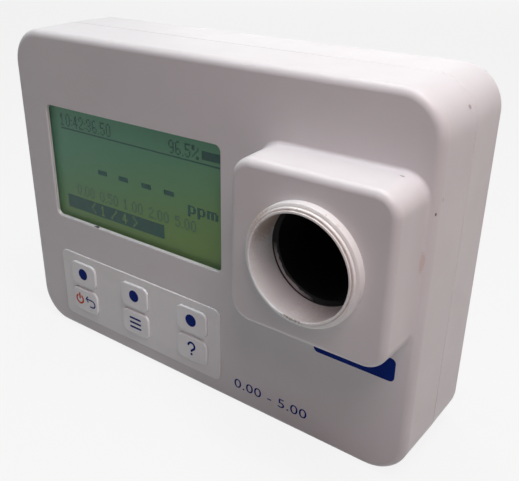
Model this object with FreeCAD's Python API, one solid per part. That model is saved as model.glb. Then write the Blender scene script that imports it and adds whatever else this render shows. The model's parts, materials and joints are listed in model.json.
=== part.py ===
import FreeCAD, Part
import math
import os

# Portable photometer with a round cuvette port, a graphic display and six keys.
# Millimetres. The face looks along -Y, the meter stands on its long lower side, +Z is up.
# The origin is the middle of the overall box, on the surface that the meter stands on.

# Casing
wall = 2.5
corner_radius = 11.2
front_depth = 16.8
front_edge_radius = 2.2
rear_edge_radius = 1.7
rear_taper = 0.5
seam_chamfer = 0.25
tongue_height = 1.6
tongue_thickness = 1.2
seam_clearance = 0.05
shell_gasket_height = 0.8

# Face layout: the casing's width and height are the sums of what stands side by side
left_margin = 12.9
display_width = 70.0
display_height = 37.3
display_to_block = 13.1
block_size = 44.5
right_margin = 2.0
bottom_margin = 5.4
keypad_height = 24.8
keypad_inset = 0.35
keypad_to_display = 12.5
top_margin = 22.5
block_top_margin = 18.15

# Raised block and port collar
block_rise = 13.2
block_corner_radius = 6.2
block_edge_radius = 2.0
block_draft = 0.3
block_base_fillet = 1.0
block_wall = 2.3
collar_rise = 3.5
collar_base_radius = 15.5
collar_base_height = 2.3
collar_shoulder_radius = 14.95
collar_groove = 0.25
collar_lip_radius = 14.6
collar_bore_radius = 13.4
collar_edge_radius = 0.45
collar_shank_radius = 14.7
collar_shank_length = 6.3
collar_clearance = 0.1

# Cuvette well
cuvette_diameter = 24.6
cuvette_clearance = 0.3
well_wall = 2.0
well_floor = 1.8
well_rear_gap = 0.5
well_gasket_thickness = 0.6
well_mouth_chamfer = 0.9
well_flange_thickness = 2.5
well_flange_gap = 1.45
well_post_inset = 4.75
aperture_radius = 3.5

# Optical train below the well, from the lamp up to the filter
lamp_housing_floor = 9.5
housing_half_width = 10.0
lamp_space = 10.5
stack_bore_radius = 6.5
stack_clearance = 0.05
retaining_ring_height = 2.5
retaining_ring_bore = 4.0
lens_thickness = 3.0
lens_edge = 1.2
splitter_mount_height = 11.0
splitter_mount_bore = 4.2
splitter_length = 9.0
splitter_width = 8.0
splitter_thickness = 1.0
filter_height = 4.0
lamp_radius = 2.5
lamp_flange_radius = 2.9
lamp_flange_height = 1.0
lamp_height = 8.2
reference_radius = 2.6
reference_length = 2.8
ear_width = 8.0
ear_span = 36.0
ear_thickness = 2.5
ear_hole_offset = 14.5
reference_board_half = 8.0
lamp_ear_rise = 4.0

# Detector side above the well
detector_half_width = 9.0
detector_top = 25.9
detector_radius = 4.5
detector_height = 4.0
saddle_overlap = 6.6

# Display
pane_depth = 1.2
pane_overlap = 2.4
display_corner_radius = 1.8
display_edge_radius = 0.4
fit_clearance = 0.05
display_gasket_thickness = 0.4
display_gasket_margin = 1.4
lcd_thickness = 2.0
lcd_overlap = 2.4
lcd_corner_radius = 0.8
backlight_thickness = 4.1
bezel_wall = 1.3

# Keypad
keypad_rise = 0.35
keypad_recess = 0.4
keypad_corner_radius = 2.5
keypad_edge_radius = 0.25
key_width = 11.8
key_height = 8.7
key_corner_radius = 2.2
key_edge_radius = 0.5
key_rise = 0.7
key_clearance = 0.12
key_end_margin = 4.75
key_row_pitch = 9.9
key_row_lift = 0.4
key_travel = 0.8
key_flange = 0.5
key_flange_thickness = 1.0
key_seat_gap = 0.05
key_top_wall = 1.6
key_skirt_wall = 1.2
key_stem_radius = 1.9
key_stem_end = 4.6
plunger_radius = 1.75
plunger_length = 2.3
plunger_clearance = 0.1
switch_size = 6.2
switch_gap = 0.2
switch_bore_end_gap = 0.3

# Main board
board_thickness = 1.6
board_side_overhang = 3.0
board_end_margin = 5.5
board_notch = 8.0
component_space = 2.9
post_radius = 3.0
screw_hole_radius = 1.1
board_post_inset = 11.5
upper_post_gap = 10.0
lower_post_gap = 7.3

# Chips on the rear of the main board
processor_size = 12.0
memory_width = 6.0
memory_length = 8.0
regulator_size = 5.0
driver_width = 9.0
driver_length = 4.0
coil_size = 7.0
sounder_radius = 5.0
chip_height = 1.3
coil_height = 2.3
chip_pitch = 16.0
chip_row_rise = 9.0
chip_row_drop = 12.0

# Batteries, tray and twist cover
cell_diameter = 14.5
cell_length = 50.5
cell_gap = 0.15
cell_nipple_radius = 2.75
cell_nipple_height = 1.0
tray_floor = 1.5
tray_wall = 1.4
tray_side_gap = 0.7
contact_room = 1.95
contact_thickness = 0.3
contact_width = 9.0
contact_height = 9.0
contact_tail_width = 3.0
cell_bevel = 0.4
tray_corner_radius = 2.0
tray_inside_radius = 1.0
tray_boss_overlap = 0.5
cover_gap = 1.15
cover_thickness = 3.0
cover_skirt_wall = 2.2
cover_skirt_clearance = 0.15
cover_corner_gap = 1.3
cover_seat_gap = 0.05
ledge_height = 3.0
lug_height = 2.0
lug_gap = 0.2
lug_depth = 1.6
lug_root = 0.5
lug_clearance = 0.4
lug_angle = 30.0
slot_extra_angle = 5.0
stop_angle = 5.0
stop_gap_angle = 1.0
stop_root = 1.0
cover_turn = 60.0
cover_lugs = 3
ring_wall = 2.8
ring_tail = 0.8
seal_land = 1.4
seal_section = 0.9
cover_rim_clearance = 0.3
tray_flange_thickness = 1.5
tray_boss_radius = 3.2
grip_bar_width = 12.0
grip_pocket_radius = 28.0
grip_pocket_depth = 1.7
grip_pocket_chamfer = 0.6
cover_edge_chamfer = 0.5

# Screws
case_boss_radius = 4.2
case_boss_inset = 9.25
case_screw_radius = 1.5
case_screw_head_radius = 2.9
case_screw_head_height = 2.0
case_screw_length = 20.0
case_counterbore_depth = 9.0
case_hole_end = 1.5
counterbore_clearance = 0.3
small_screw_radius = 1.0
small_screw_head_radius = 1.9
small_screw_head_height = 1.3
small_screw_length = 5.0
screw_clearance = 0.1
thread_spare = 0.5

# Ribbons and their sockets
ribbon_thickness = 0.3
ribbon_width = 7.0
socket_length = 6.0
socket_height = 3.2
socket_inset = 2.0
ribbon_standoff = 0.9
ribbon_bend_radius = 3.0
socket_side = 1.0

# Sizes that follow from the ones above
keypad_width = display_width - 2 * keypad_inset
key_column_pitch = (keypad_width - key_width) / 2 - key_end_margin
case_width = left_margin + display_width + display_to_block + block_size + right_margin
case_height = bottom_margin + keypad_height + keypad_to_display + display_height + top_margin
display_stack = wall + display_gasket_thickness + lcd_thickness + backlight_thickness
board_back = display_stack + board_thickness
cell_seat = board_back + component_space + tray_floor + cell_gap
body_depth = cell_seat + cell_diameter + cover_gap + cover_thickness
overall_depth = collar_rise + block_rise + body_depth

y_rim = -overall_depth / 2
y_block = y_rim + collar_rise
y_face = y_block + block_rise
y_inner = y_face + wall
y_seam = y_face + front_depth
y_back = y_face + body_depth
y_optical = (y_inner + y_back - wall) / 2
y_board = y_face + display_stack

display_x = -case_width / 2 + left_margin + display_width / 2
display_z = bottom_margin + keypad_height + keypad_to_display + display_height / 2
keypad_z = bottom_margin + keypad_height / 2
block_x = case_width / 2 - right_margin - block_size / 2
block_z = case_height - block_top_margin - block_size / 2
cover_x = display_x
cover_z = case_height / 2

well_radius = cuvette_diameter / 2 + cuvette_clearance
well_outer = well_radius + well_wall
well_front = y_block + collar_shank_length + well_gasket_thickness
well_end = y_back - wall - well_rear_gap

lamp_z = wall + lamp_housing_floor
ring_z = lamp_z + lamp_space
lens_z = ring_z + retaining_ring_height
mount_z = lens_z + lens_thickness
filter_z = mount_z + splitter_mount_height
stack_top = filter_z + filter_height
splitter_z = mount_z + splitter_mount_height / 2
stack_radius = stack_bore_radius - stack_clearance
detector_z = block_z + detector_top
lamp_ear_z = lamp_z + ear_width / 2 + lamp_ear_rise
detector_ear_z = detector_z - ear_width / 2
lamp_ear_y = y_optical - housing_half_width
detector_ear_y = y_optical - detector_half_width

board_width = display_width + 2 * (pane_overlap + board_side_overhang)
board_right = display_x + board_width / 2

cell_pitch = cell_diameter + cell_gap
tray_inside_width = 3 * cell_diameter + 2 * cell_gap + 2 * tray_side_gap
tray_inside_length = cell_length + 2 * contact_room
cell_y = y_face + cell_seat + cell_diameter / 2
tray_corner = math.hypot(tray_inside_width / 2, tray_inside_length / 2)
skirt_outer = tray_corner + cover_corner_gap - cover_skirt_clearance
skirt_inner = skirt_outer - cover_skirt_wall
lug_outer = skirt_outer + lug_depth
undercut_radius = lug_outer + lug_clearance
ring_outer = undercut_radius + ring_wall
recess_radius = undercut_radius + seal_land
cover_radius = recess_radius - cover_rim_clearance
y_ledge = y_back - cover_thickness
y_lug = y_ledge - ledge_height - lug_gap
y_lug_end = y_lug - lug_height
y_tray_flange = y_lug_end - ring_tail
tray_boss_offset = (ring_outer + tray_boss_radius - tray_boss_overlap) / math.sqrt(2)

key_columns = [-key_column_pitch, 0.0, key_column_pitch]
key_rows = [key_row_pitch / 2, -key_row_pitch / 2]
key_names = ["left", "middle", "right"]
row_names = ["upper", "lower"]


def vec(x, y, z):
    return FreeCAD.Vector(x, y, z)


def outline(width, height, radius, x, y, z):
    """Rounded rectangle in a plane across Y, centred on x and z."""
    a = width / 2 - radius
    b = height / 2 - radius
    s = radius * math.sqrt(0.5)
    corners = [(a, b, 1, 1), (-a, b, -1, 1), (-a, -b, -1, -1), (a, -b, 1, -1)]
    edges = []
    ends = []
    for cx, cz, sx, sz in corners:
        on_side = vec(x + cx + sx * radius, y, z + cz)
        on_top = vec(x + cx, y, z + cz + sz * radius)
        middle = vec(x + cx + sx * s, y, z + cz + sz * s)
        first, last = (on_side, on_top) if sx == sz else (on_top, on_side)
        edges.append(Part.Arc(first, middle, last).toShape())
        ends.append((first, last))
    for i in range(4):
        start = ends[i][1]
        finish = ends[(i + 1) % 4][0]
        if (finish - start).Length > 1e-6:
            edges.append(Part.makeLine(start, finish))
    return Part.Wire(Part.__sortEdges__(edges))


def plate(width, height, radius, x, z, y0, y1):
    """Rounded rectangular prism between two depths."""
    face = Part.Face(outline(width, height, radius, x, y0, z))
    return face.extrude(vec(0, y1 - y0, 0))


def tapered(size0, size1, radius0, radius1, centre0, centre1, y0, y1):
    """Rounded rectangular prism whose outline changes evenly from y0 to y1."""
    first = outline(size0[0], size0[1], radius0, centre0[0], y0, centre0[1])
    last = outline(size1[0], size1[1], radius1, centre1[0], y1, centre1[1])
    return Part.makeLoft([first, last], True, True)


def box(x0, x1, y0, y1, z0, z1):
    return Part.makeBox(x1 - x0, y1 - y0, z1 - z0, vec(x0, y0, z0))


def disc(radius, x, z, y0, y1):
    """Cylinder along Y."""
    return Part.makeCylinder(radius, y1 - y0, vec(x, y0, z), vec(0, 1, 0))


def rod(radius, x, y, z0, z1):
    """Cylinder along Z."""
    return Part.makeCylinder(radius, z1 - z0, vec(x, y, z0), vec(0, 0, 1))


def turned(profile, x, z):
    """Profile of (radius, y) points turned about an axis along Y."""
    points = [vec(x + r, y, z) for r, y in profile]
    wire = Part.makePolygon(points + [points[0]])
    return Part.Face(wire).revolve(vec(x, 0, z), vec(0, 1, 0), 360)


def turned_upright(profile, x, y):
    """Profile of (radius, z) points turned about an axis along Z."""
    points = [vec(x + r, y, z) for r, z in profile]
    wire = Part.makePolygon(points + [points[0]])
    return Part.Face(wire).revolve(vec(x, y, 0), vec(0, 0, 1), 360)


def sector(inner, outer, x, z, y0, y1, start, width):
    """Part of a ring about an axis along Y, from a start angle over a width, in degrees."""
    middle = (inner + outer) / 2
    half = (outer - inner) / 2
    section = Part.makePolygon([
        vec(x + middle - half, y0, z),
        vec(x + middle + half, y0, z),
        vec(x + middle + half, y1, z),
        vec(x + middle - half, y1, z),
        vec(x + middle - half, y0, z),
    ])
    piece = Part.Face(section).revolve(vec(x, 0, z), vec(0, 1, 0), width)
    piece.rotate(vec(x, 0, z), vec(0, 1, 0), start)
    return piece


def edges_at(shape, y, x=None, z=None, half_x=None, half_z=None):
    """Edges that lie in the plane at depth y, within a window about x and z if one is given."""
    found = []
    for edge in shape.Edges:
        b = edge.BoundBox
        if abs(b.YMin - y) > 1e-3 or abs(b.YMax - y) > 1e-3:
            continue
        if x is not None:
            outside_x = b.XMin < x - half_x or b.XMax > x + half_x
            outside_z = b.ZMin < z - half_z or b.ZMax > z + half_z
            if outside_x or outside_z:
                continue
        found.append(edge)
    return found


def join(shapes):
    """One solid from pieces that meet."""
    whole = shapes[0].fuse(shapes[1:])
    return whole.removeSplitter()


def screw(x, z, seat, length, radius, head_radius, head_height, towards):
    """Screw along Y whose head sits at depth seat and whose shank runs towards -Y or +Y."""
    if towards < 0:
        shank = disc(radius, x, z, seat - length, seat)
        head = disc(head_radius, x, z, seat, seat + head_height)
    else:
        shank = disc(radius, x, z, seat, seat + length)
        head = disc(head_radius, x, z, seat - head_height, seat)
    return join([shank, head])


def save(name, shape):
    shape.exportStep(os.path.join("parts", name + ".step"))


def save_group(name, shapes):
    save(name, Part.makeCompound(shapes))


def case_boss_places():
    dx = case_width / 2 - case_boss_inset
    low = case_boss_inset
    high = case_height - case_boss_inset
    return [(-dx, low), (dx, low), (-dx, high), (dx, high)]


def board_post_places():
    left = display_x - board_width / 2 + board_post_inset
    right = board_right - board_post_inset
    high = display_z + display_height / 2 + upper_post_gap
    low = display_z - display_height / 2 - lower_post_gap
    return [(left, low), (right, low), (left, high), (right, high)]


def well_post_places():
    d = block_size / 2 - block_wall - well_post_inset
    return [(block_x + sx * d, block_z + sz * d) for sx in (-1, 1) for sz in (-1, 1)]


def ear_places():
    lamp = [(block_x + s * ear_hole_offset, lamp_ear_z, lamp_ear_y) for s in (-1, 1)]
    detector = [(block_x + s * ear_hole_offset, detector_ear_z, detector_ear_y) for s in (-1, 1)]
    return lamp + detector


def tray_boss_places():
    d = tray_boss_offset
    return [(cover_x + sx * d, cover_z + sz * d) for sx in (-1, 1) for sz in (-1, 1)]


def key_places():
    places = []
    for row_name, dz in zip(row_names, key_rows):
        for column_name, dx in zip(key_names, key_columns):
            name = row_name + "_" + column_name
            places.append((name, display_x + dx, keypad_z + key_row_lift + dz))
    return places


def post(x, z, y0, y1, radius, hole_radius, hole_depth):
    """Solid post with a blind screw hole in its rear end."""
    body = disc(radius, x, z, y0, y1)
    hole = disc(hole_radius, x, z, y1 - hole_depth, y1)
    return body, hole


def make_front_shell():
    casing = plate(case_width, case_height, corner_radius, 0, case_height / 2, y_face, y_seam)
    casing = casing.makeFillet(front_edge_radius, edges_at(casing, y_face))
    casing = casing.makeChamfer(seam_chamfer, edges_at(casing, y_seam))

    tip = block_size - 2 * block_draft
    block = tapered(
        (tip, tip), (block_size, block_size),
        block_corner_radius - block_draft, block_corner_radius,
        (block_x, block_z), (block_x, block_z), y_block, y_face + wall / 2,
    )
    block = block.makeFillet(block_edge_radius, edges_at(block, y_block))
    shell = casing.fuse(block)
    window = block_size / 2 + fit_clearance
    base_edges = edges_at(shell, y_face, block_x, block_z, window, window)
    shell = shell.makeFillet(block_base_fillet, base_edges)

    hollow = plate(
        case_width - 2 * wall, case_height - 2 * wall, corner_radius - wall,
        0, case_height / 2, y_inner, y_seam,
    )
    block_inside = block_size - 2 * block_wall
    block_hollow = plate(
        block_inside, block_inside, block_corner_radius - block_wall,
        block_x, block_z, y_block + block_wall, y_inner,
    )
    shell = shell.cut([hollow, block_hollow])

    opening = plate(
        display_width, display_height, display_corner_radius,
        display_x, display_z, y_face, y_inner,
    )
    shell = shell.cut(opening)
    rim = edges_at(shell, y_face, display_x, display_z,
                   display_width / 2 + fit_clearance, display_height / 2 + fit_clearance)
    shell = shell.makeFillet(display_edge_radius, rim)
    rebate = plate(
        display_width + 2 * (pane_overlap + fit_clearance),
        display_height + 2 * (pane_overlap + fit_clearance),
        display_corner_radius, display_x, display_z, y_face + pane_depth, y_inner,
    )
    keypad_seat = plate(
        keypad_width + 2 * fit_clearance, keypad_height + 2 * fit_clearance,
        keypad_corner_radius + fit_clearance, display_x, keypad_z, y_face, y_face + keypad_recess,
    )
    cuts = [rebate, keypad_seat]
    for name, x, z in key_places():
        cuts.append(key_aperture(x, z, y_face, y_inner))
    cuts.append(disc(collar_shank_radius + collar_clearance, block_x, block_z, y_block, y_inner))
    seam_inset = wall - tongue_thickness - seam_clearance
    cuts.append(plate(
        case_width - 2 * seam_inset, case_height - 2 * seam_inset, corner_radius - seam_inset,
        0, case_height / 2, y_seam - tongue_height - shell_gasket_height, y_seam,
    ))

    posts = []
    holes = []
    for x, z in case_boss_places():
        body, hole = post(x, z, y_inner, y_seam, case_boss_radius, case_screw_radius + screw_clearance,
                          front_depth - wall - case_hole_end)
        posts.append(body)
        holes.append(hole)
    for x, z in board_post_places():
        body, hole = post(x, z, y_inner, y_board, post_radius, screw_hole_radius, small_screw_length)
        posts.append(body)
        holes.append(hole)
    for x, z in well_post_places():
        body, hole = post(x, z, y_block + block_wall, well_front, post_radius, screw_hole_radius,
                          small_screw_length - well_flange_thickness + thread_spare)
        posts.append(body)
        holes.append(hole)
    for x, z, y in ear_places():
        body, hole = post(x, z, y_inner, y, post_radius, screw_hole_radius,
                          small_screw_length - ear_thickness + thread_spare)
        posts.append(body)
        holes.append(hole)
    shell = shell.cut(cuts)
    shell = join([shell] + posts)
    return shell.cut(holes)


def key_aperture(x, z, y0, y1):
    return plate(
        key_width + 2 * key_clearance, key_height + 2 * key_clearance,
        key_corner_radius + key_clearance, x, z, y0, y1,
    )


def make_rear_shell():
    middle = case_height / 2
    rear_middle = middle - rear_taper / 2
    rear_size = (case_width - 2 * rear_taper, case_height - rear_taper)
    y_full = y_seam + seam_chamfer
    body = tapered(
        (case_width, case_height), rear_size, corner_radius, corner_radius - rear_taper,
        (0, middle), (0, rear_middle), y_full, y_back,
    )
    body = body.makeFillet(rear_edge_radius, edges_at(body, y_back))
    bevel = tapered(
        (case_width - 2 * seam_chamfer, case_height - 2 * seam_chamfer), (case_width, case_height),
        corner_radius - seam_chamfer, corner_radius, (0, middle), (0, middle), y_seam, y_full,
    )
    body = body.fuse(bevel)
    hollow = tapered(
        (case_width - 2 * wall, case_height - 2 * wall),
        (rear_size[0] - 2 * wall, rear_size[1] - 2 * wall),
        corner_radius - wall, corner_radius - wall - rear_taper,
        (0, middle), (0, rear_middle), y_seam, y_back - wall,
    )
    body = body.cut(hollow)

    seam_inset = wall - tongue_thickness
    tongue = plate(
        case_width - 2 * seam_inset, case_height - 2 * seam_inset, corner_radius - seam_inset,
        0, middle, y_seam - tongue_height, y_seam + wall,
    )
    tongue_inside = plate(
        case_width - 2 * wall, case_height - 2 * wall, corner_radius - wall,
        0, middle, y_seam - tongue_height, y_seam + wall,
    )
    solids = [body, tongue.cut(tongue_inside)]
    solids.append(disc(ring_outer, cover_x, cover_z, y_tray_flange, y_back - wall / 2))
    for x, z in tray_boss_places():
        solids.append(disc(tray_boss_radius, x, z, y_tray_flange, y_back - wall / 2))
    for x, z in case_boss_places():
        solids.append(disc(case_boss_radius, x, z, y_seam, y_back - wall / 2))
    shell = join(solids)

    cuts = [
        disc(recess_radius, cover_x, cover_z, y_ledge, y_back),
        disc(skirt_outer + cover_skirt_clearance, cover_x, cover_z, y_tray_flange, y_ledge),
    ]
    y_undercut = y_ledge - ledge_height
    undercut = disc(undercut_radius, cover_x, cover_z, y_tray_flange, y_undercut)
    step = 360.0 / cover_lugs
    stops = []
    for i in range(cover_lugs):
        start = i * step - stop_angle - stop_gap_angle
        stops.append(sector(
            skirt_outer + cover_skirt_clearance, undercut_radius + stop_root,
            cover_x, cover_z, y_lug_end, y_undercut, start, stop_angle,
        ))
    cuts.append(undercut.cut(stops))
    slot_angle = lug_angle + 2 * slot_extra_angle
    for i in range(cover_lugs):
        start = i * step + cover_turn - slot_extra_angle
        cuts.append(sector(
            skirt_outer, undercut_radius, cover_x, cover_z, y_undercut, y_ledge, start, slot_angle,
        ))
    for x, z in tray_boss_places():
        cuts.append(disc(screw_hole_radius, x, z, y_tray_flange, y_tray_flange + small_screw_length))
    for x, z in case_boss_places():
        cuts.append(disc(case_screw_radius + screw_clearance, x, z, y_seam, y_back))
        cuts.append(disc(case_screw_head_radius + counterbore_clearance, x, z,
                         y_back - case_counterbore_depth, y_back))
    return shell.cut(cuts)


def make_shell_gasket():
    inset = wall - tongue_thickness
    y0 = y_seam - tongue_height - shell_gasket_height
    y1 = y_seam - tongue_height
    ring = plate(
        case_width - 2 * inset, case_height - 2 * inset, corner_radius - inset,
        0, case_height / 2, y0, y1,
    )
    inside = plate(
        case_width - 2 * wall, case_height - 2 * wall, corner_radius - wall,
        0, case_height / 2, y0, y1,
    )
    return ring.cut(inside)


def make_port_collar():
    y_shoulder = y_block - collar_base_height
    profile = [
        (collar_bore_radius, y_rim),
        (collar_lip_radius, y_rim),
        (collar_lip_radius, y_shoulder),
        (collar_shoulder_radius, y_shoulder),
        (collar_base_radius, y_shoulder + collar_groove),
        (collar_base_radius, y_block),
        (collar_shank_radius, y_block),
        (collar_shank_radius, y_block + collar_shank_length),
        (collar_bore_radius, y_block + collar_shank_length),
    ]
    collar = turned(profile, block_x, block_z)
    return collar.makeFillet(collar_edge_radius, edges_at(collar, y_rim))


def make_well_gasket():
    outer = disc(well_outer, block_x, block_z, y_block + collar_shank_length, well_front)
    inner = disc(well_radius + well_mouth_chamfer, block_x, block_z,
                 y_block + collar_shank_length, well_front)
    return outer.cut(inner)


def make_cuvette_well():
    flange_size = block_size - 2 * block_wall - 2 * well_flange_gap
    flange = plate(
        flange_size, flange_size, block_corner_radius - block_wall + well_flange_gap / 2,
        block_x, block_z, well_front, well_front + well_flange_thickness,
    )
    tube = disc(well_outer, block_x, block_z, well_front, well_end)
    bore = turned([
        (0, well_front),
        (well_radius + well_mouth_chamfer, well_front),
        (well_radius, well_front + well_mouth_chamfer),
        (well_radius, well_end - well_floor),
        (0, well_end - well_floor),
    ], block_x, block_z)
    light_path = rod(aperture_radius, block_x, y_optical, block_z - well_outer, block_z + well_outer)
    cuts = [bore, light_path]
    for x, z in well_post_places():
        cuts.append(disc(small_screw_radius + screw_clearance, x, z,
                         well_front, well_front + well_flange_thickness))
    return join([flange, tube]).cut(cuts)


def ear_plate(z, y):
    half = ear_span / 2
    return box(block_x - half, block_x + half, y, y + ear_thickness, z - ear_width / 2, z + ear_width / 2)


def make_lamp_housing():
    h = housing_half_width
    body = box(block_x - h, block_x + h, y_optical - h, y_optical + h,
               lamp_z, block_z - well_outer + saddle_overlap)
    housing = join([body, ear_plate(lamp_ear_z, lamp_ear_y)])
    cuts = [
        disc(well_outer + fit_clearance, block_x, block_z, y_optical - h, y_optical + h),
        rod(stack_bore_radius, block_x, y_optical, lamp_z, stack_top),
        rod(aperture_radius, block_x, y_optical, stack_top, block_z),
        Part.makeCylinder(reference_radius + fit_clearance, h, vec(block_x - h, y_optical, splitter_z),
                          vec(1, 0, 0)),
    ]
    for s in (-1, 1):
        cuts.append(disc(small_screw_radius + screw_clearance, block_x + s * ear_hole_offset, lamp_ear_z,
                         lamp_ear_y, lamp_ear_y + ear_thickness))
    return housing.cut(cuts)


def make_detector_housing():
    h = detector_half_width
    body = box(block_x - h, block_x + h, y_optical - h, y_optical + h,
               block_z + well_outer - saddle_overlap, detector_z)
    housing = join([body, ear_plate(detector_ear_z, detector_ear_y)])
    cuts = [
        disc(well_outer + fit_clearance, block_x, block_z, y_optical - h, y_optical + h),
        rod(aperture_radius, block_x, y_optical, block_z, detector_z),
        rod(detector_radius + 2 * fit_clearance, block_x, y_optical,
            detector_z - detector_height - 2 * fit_clearance, detector_z),
    ]
    for s in (-1, 1):
        cuts.append(disc(small_screw_radius + screw_clearance, block_x + s * ear_hole_offset,
                         detector_ear_z, detector_ear_y, detector_ear_y + ear_thickness))
    return housing.cut(cuts)


def make_lamp():
    """Moulded lamp with a rim at its foot and a round nose."""
    shoulder = lamp_z + lamp_height - lamp_radius
    foot = rod(lamp_flange_radius, block_x, y_optical, lamp_z, lamp_z + lamp_flange_height)
    body = rod(lamp_radius, block_x, y_optical, lamp_z, shoulder)
    nose = Part.makeSphere(lamp_radius, vec(block_x, y_optical, shoulder), vec(0, 0, 1), 0, 90)
    return join([foot, body, nose])


def make_lens():
    """Flat below and domed above, with a cylindrical edge."""
    dome_height = lens_thickness - lens_edge
    sphere_radius = (stack_radius ** 2 + dome_height ** 2) / (2 * dome_height)
    centre = vec(block_x, y_optical, lens_z + lens_thickness - sphere_radius)
    blank = rod(stack_radius, block_x, y_optical, lens_z, lens_z + lens_thickness)
    return blank.common(Part.makeSphere(sphere_radius, centre))


def splitter_block(length, width, thickness):
    """Slab at 45 degrees across the light path."""
    slab = box(-length / 2, length / 2, -width / 2, width / 2, -thickness / 2, thickness / 2)
    slab.rotate(vec(0, 0, 0), vec(0, 1, 0), 45)
    slab.translate(vec(block_x, y_optical, splitter_z))
    return slab


def make_splitter_mount():
    body = rod(stack_radius, block_x, y_optical, mount_z, mount_z + splitter_mount_height)
    cuts = [
        rod(splitter_mount_bore, block_x, y_optical, mount_z, mount_z + splitter_mount_height),
        splitter_block(splitter_length + 2 * fit_clearance, splitter_width + 2 * fit_clearance,
                       splitter_thickness + 2 * fit_clearance),
        Part.makeCylinder(reference_radius, stack_radius, vec(block_x - stack_radius, y_optical, splitter_z),
                          vec(1, 0, 0)),
    ]
    return body.cut(cuts)


def make_retaining_ring():
    body = rod(stack_radius, block_x, y_optical, ring_z, lens_z)
    return body.cut(rod(retaining_ring_bore, block_x, y_optical, ring_z, lens_z))


def make_display_window():
    return plate(
        display_width + 2 * pane_overlap, display_height + 2 * pane_overlap, display_corner_radius,
        display_x, display_z, y_face + pane_depth, y_inner,
    )


def frame_ring(outer, inner, radius, x, z, y0, y1):
    ring = plate(outer[0], outer[1], radius, x, z, y0, y1)
    inside = plate(inner[0], inner[1], radius, x, z, y0, y1)
    return ring.cut(inside)


def make_display_stack():
    lcd_size = (display_width + 2 * lcd_overlap, display_height + 2 * lcd_overlap)
    y_lcd = y_inner + display_gasket_thickness
    y_light = y_lcd + lcd_thickness
    clear_size = (display_width + 2 * display_gasket_margin, display_height + 2 * display_gasket_margin)
    save("display_gasket", frame_ring(
        lcd_size, clear_size, lcd_corner_radius, display_x, display_z, y_inner, y_lcd))
    save("lcd_panel", plate(*lcd_size, lcd_corner_radius, display_x, display_z, y_lcd, y_light))
    save("lcd_backlight", plate(*lcd_size, lcd_corner_radius, display_x, display_z, y_light, y_board))
    gap = 2 * fit_clearance
    inner = (lcd_size[0] + gap, lcd_size[1] + gap)
    outer = (inner[0] + 2 * bezel_wall, inner[1] + 2 * bezel_wall)
    save("display_bezel", frame_ring(
        outer, inner, lcd_corner_radius, display_x, display_z, y_lcd, y_board))


def make_keypad_panel():
    panel = plate(
        keypad_width, keypad_height, keypad_corner_radius,
        display_x, keypad_z, y_face - keypad_rise, y_face + keypad_recess,
    )
    panel = panel.makeFillet(keypad_edge_radius, edges_at(panel, y_face - keypad_rise))
    cuts = []
    for name, x, z in key_places():
        cuts.append(key_aperture(x, z, y_face - keypad_rise, y_face + keypad_recess))
    return panel.cut(cuts)


def make_key(x, z):
    """Hollow cap with a thin flange behind the face and a stem to its switch."""
    y_top = y_face - keypad_rise - key_rise
    y_flange = y_inner + key_seat_gap
    y_skirt = y_flange + key_flange_thickness
    cap = plate(key_width, key_height, key_corner_radius, x, z, y_top, y_skirt)
    cap = cap.makeFillet(key_edge_radius, edges_at(cap, y_top))
    flange = plate(
        key_width + 2 * key_flange, key_height + 2 * key_flange, key_corner_radius + key_flange,
        x, z, y_flange, y_skirt,
    )
    pocket = plate(
        key_width - 2 * key_skirt_wall, key_height - 2 * key_skirt_wall, key_corner_radius - key_skirt_wall,
        x, z, y_top + key_top_wall, y_skirt,
    )
    stem = disc(key_stem_radius, x, z, y_top + key_top_wall / 2, y_face + key_stem_end)
    return join([join([cap, flange]).cut(pocket), stem])


def make_plunger(x, z):
    y0 = y_face + key_stem_end
    return disc(plunger_radius, x, z, y0, y0 + plunger_length)


def make_switch(x, z):
    half = switch_size / 2
    y0 = y_face + key_stem_end + key_travel + switch_gap
    bore_end = y_face + key_stem_end + plunger_length + key_travel + switch_bore_end_gap
    body = box(x - half, x + half, y0, y_board, z - half, z + half)
    return body.cut(disc(plunger_radius + plunger_clearance, x, z, y0, bore_end))


def make_main_board():
    left = display_x - board_width / 2
    low = board_end_margin
    high = case_height - board_end_margin
    board = box(left, board_right, y_board, y_board + board_thickness, low, high)
    cuts = []
    for z0, z1 in ((low, low + board_notch), (high - board_notch, high)):
        cuts.append(box(left, left + board_notch, y_board, y_board + board_thickness, z0, z1))
    for x, z in board_post_places():
        cuts.append(disc(small_screw_radius + screw_clearance, x, z, y_board, y_board + board_thickness))
    return board.cut(cuts)


def make_components():
    """Chips, a coil and a sounder in two rows on the rear of the main board."""
    y0 = y_board + board_thickness
    low = y0 + chip_height
    tall = y0 + coil_height
    upper = cover_z + chip_row_rise
    lower = cover_z - chip_row_drop
    left = display_x - chip_pitch
    right = display_x + chip_pitch
    return [
        chip(display_x, upper, processor_size, processor_size, y0, low),
        chip(right, upper, memory_width, memory_length, y0, low),
        chip(left, upper, regulator_size, regulator_size, y0, low),
        chip(right, lower, coil_size, coil_size, y0, tall),
        chip(left, lower, driver_width, driver_length, y0, low),
        disc(sounder_radius, display_x, lower, y0, tall),
    ]


def chip(x, z, width, length, y0, y1):
    return box(x - width / 2, x + width / 2, y0, y1, z - length / 2, z + length / 2)


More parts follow.
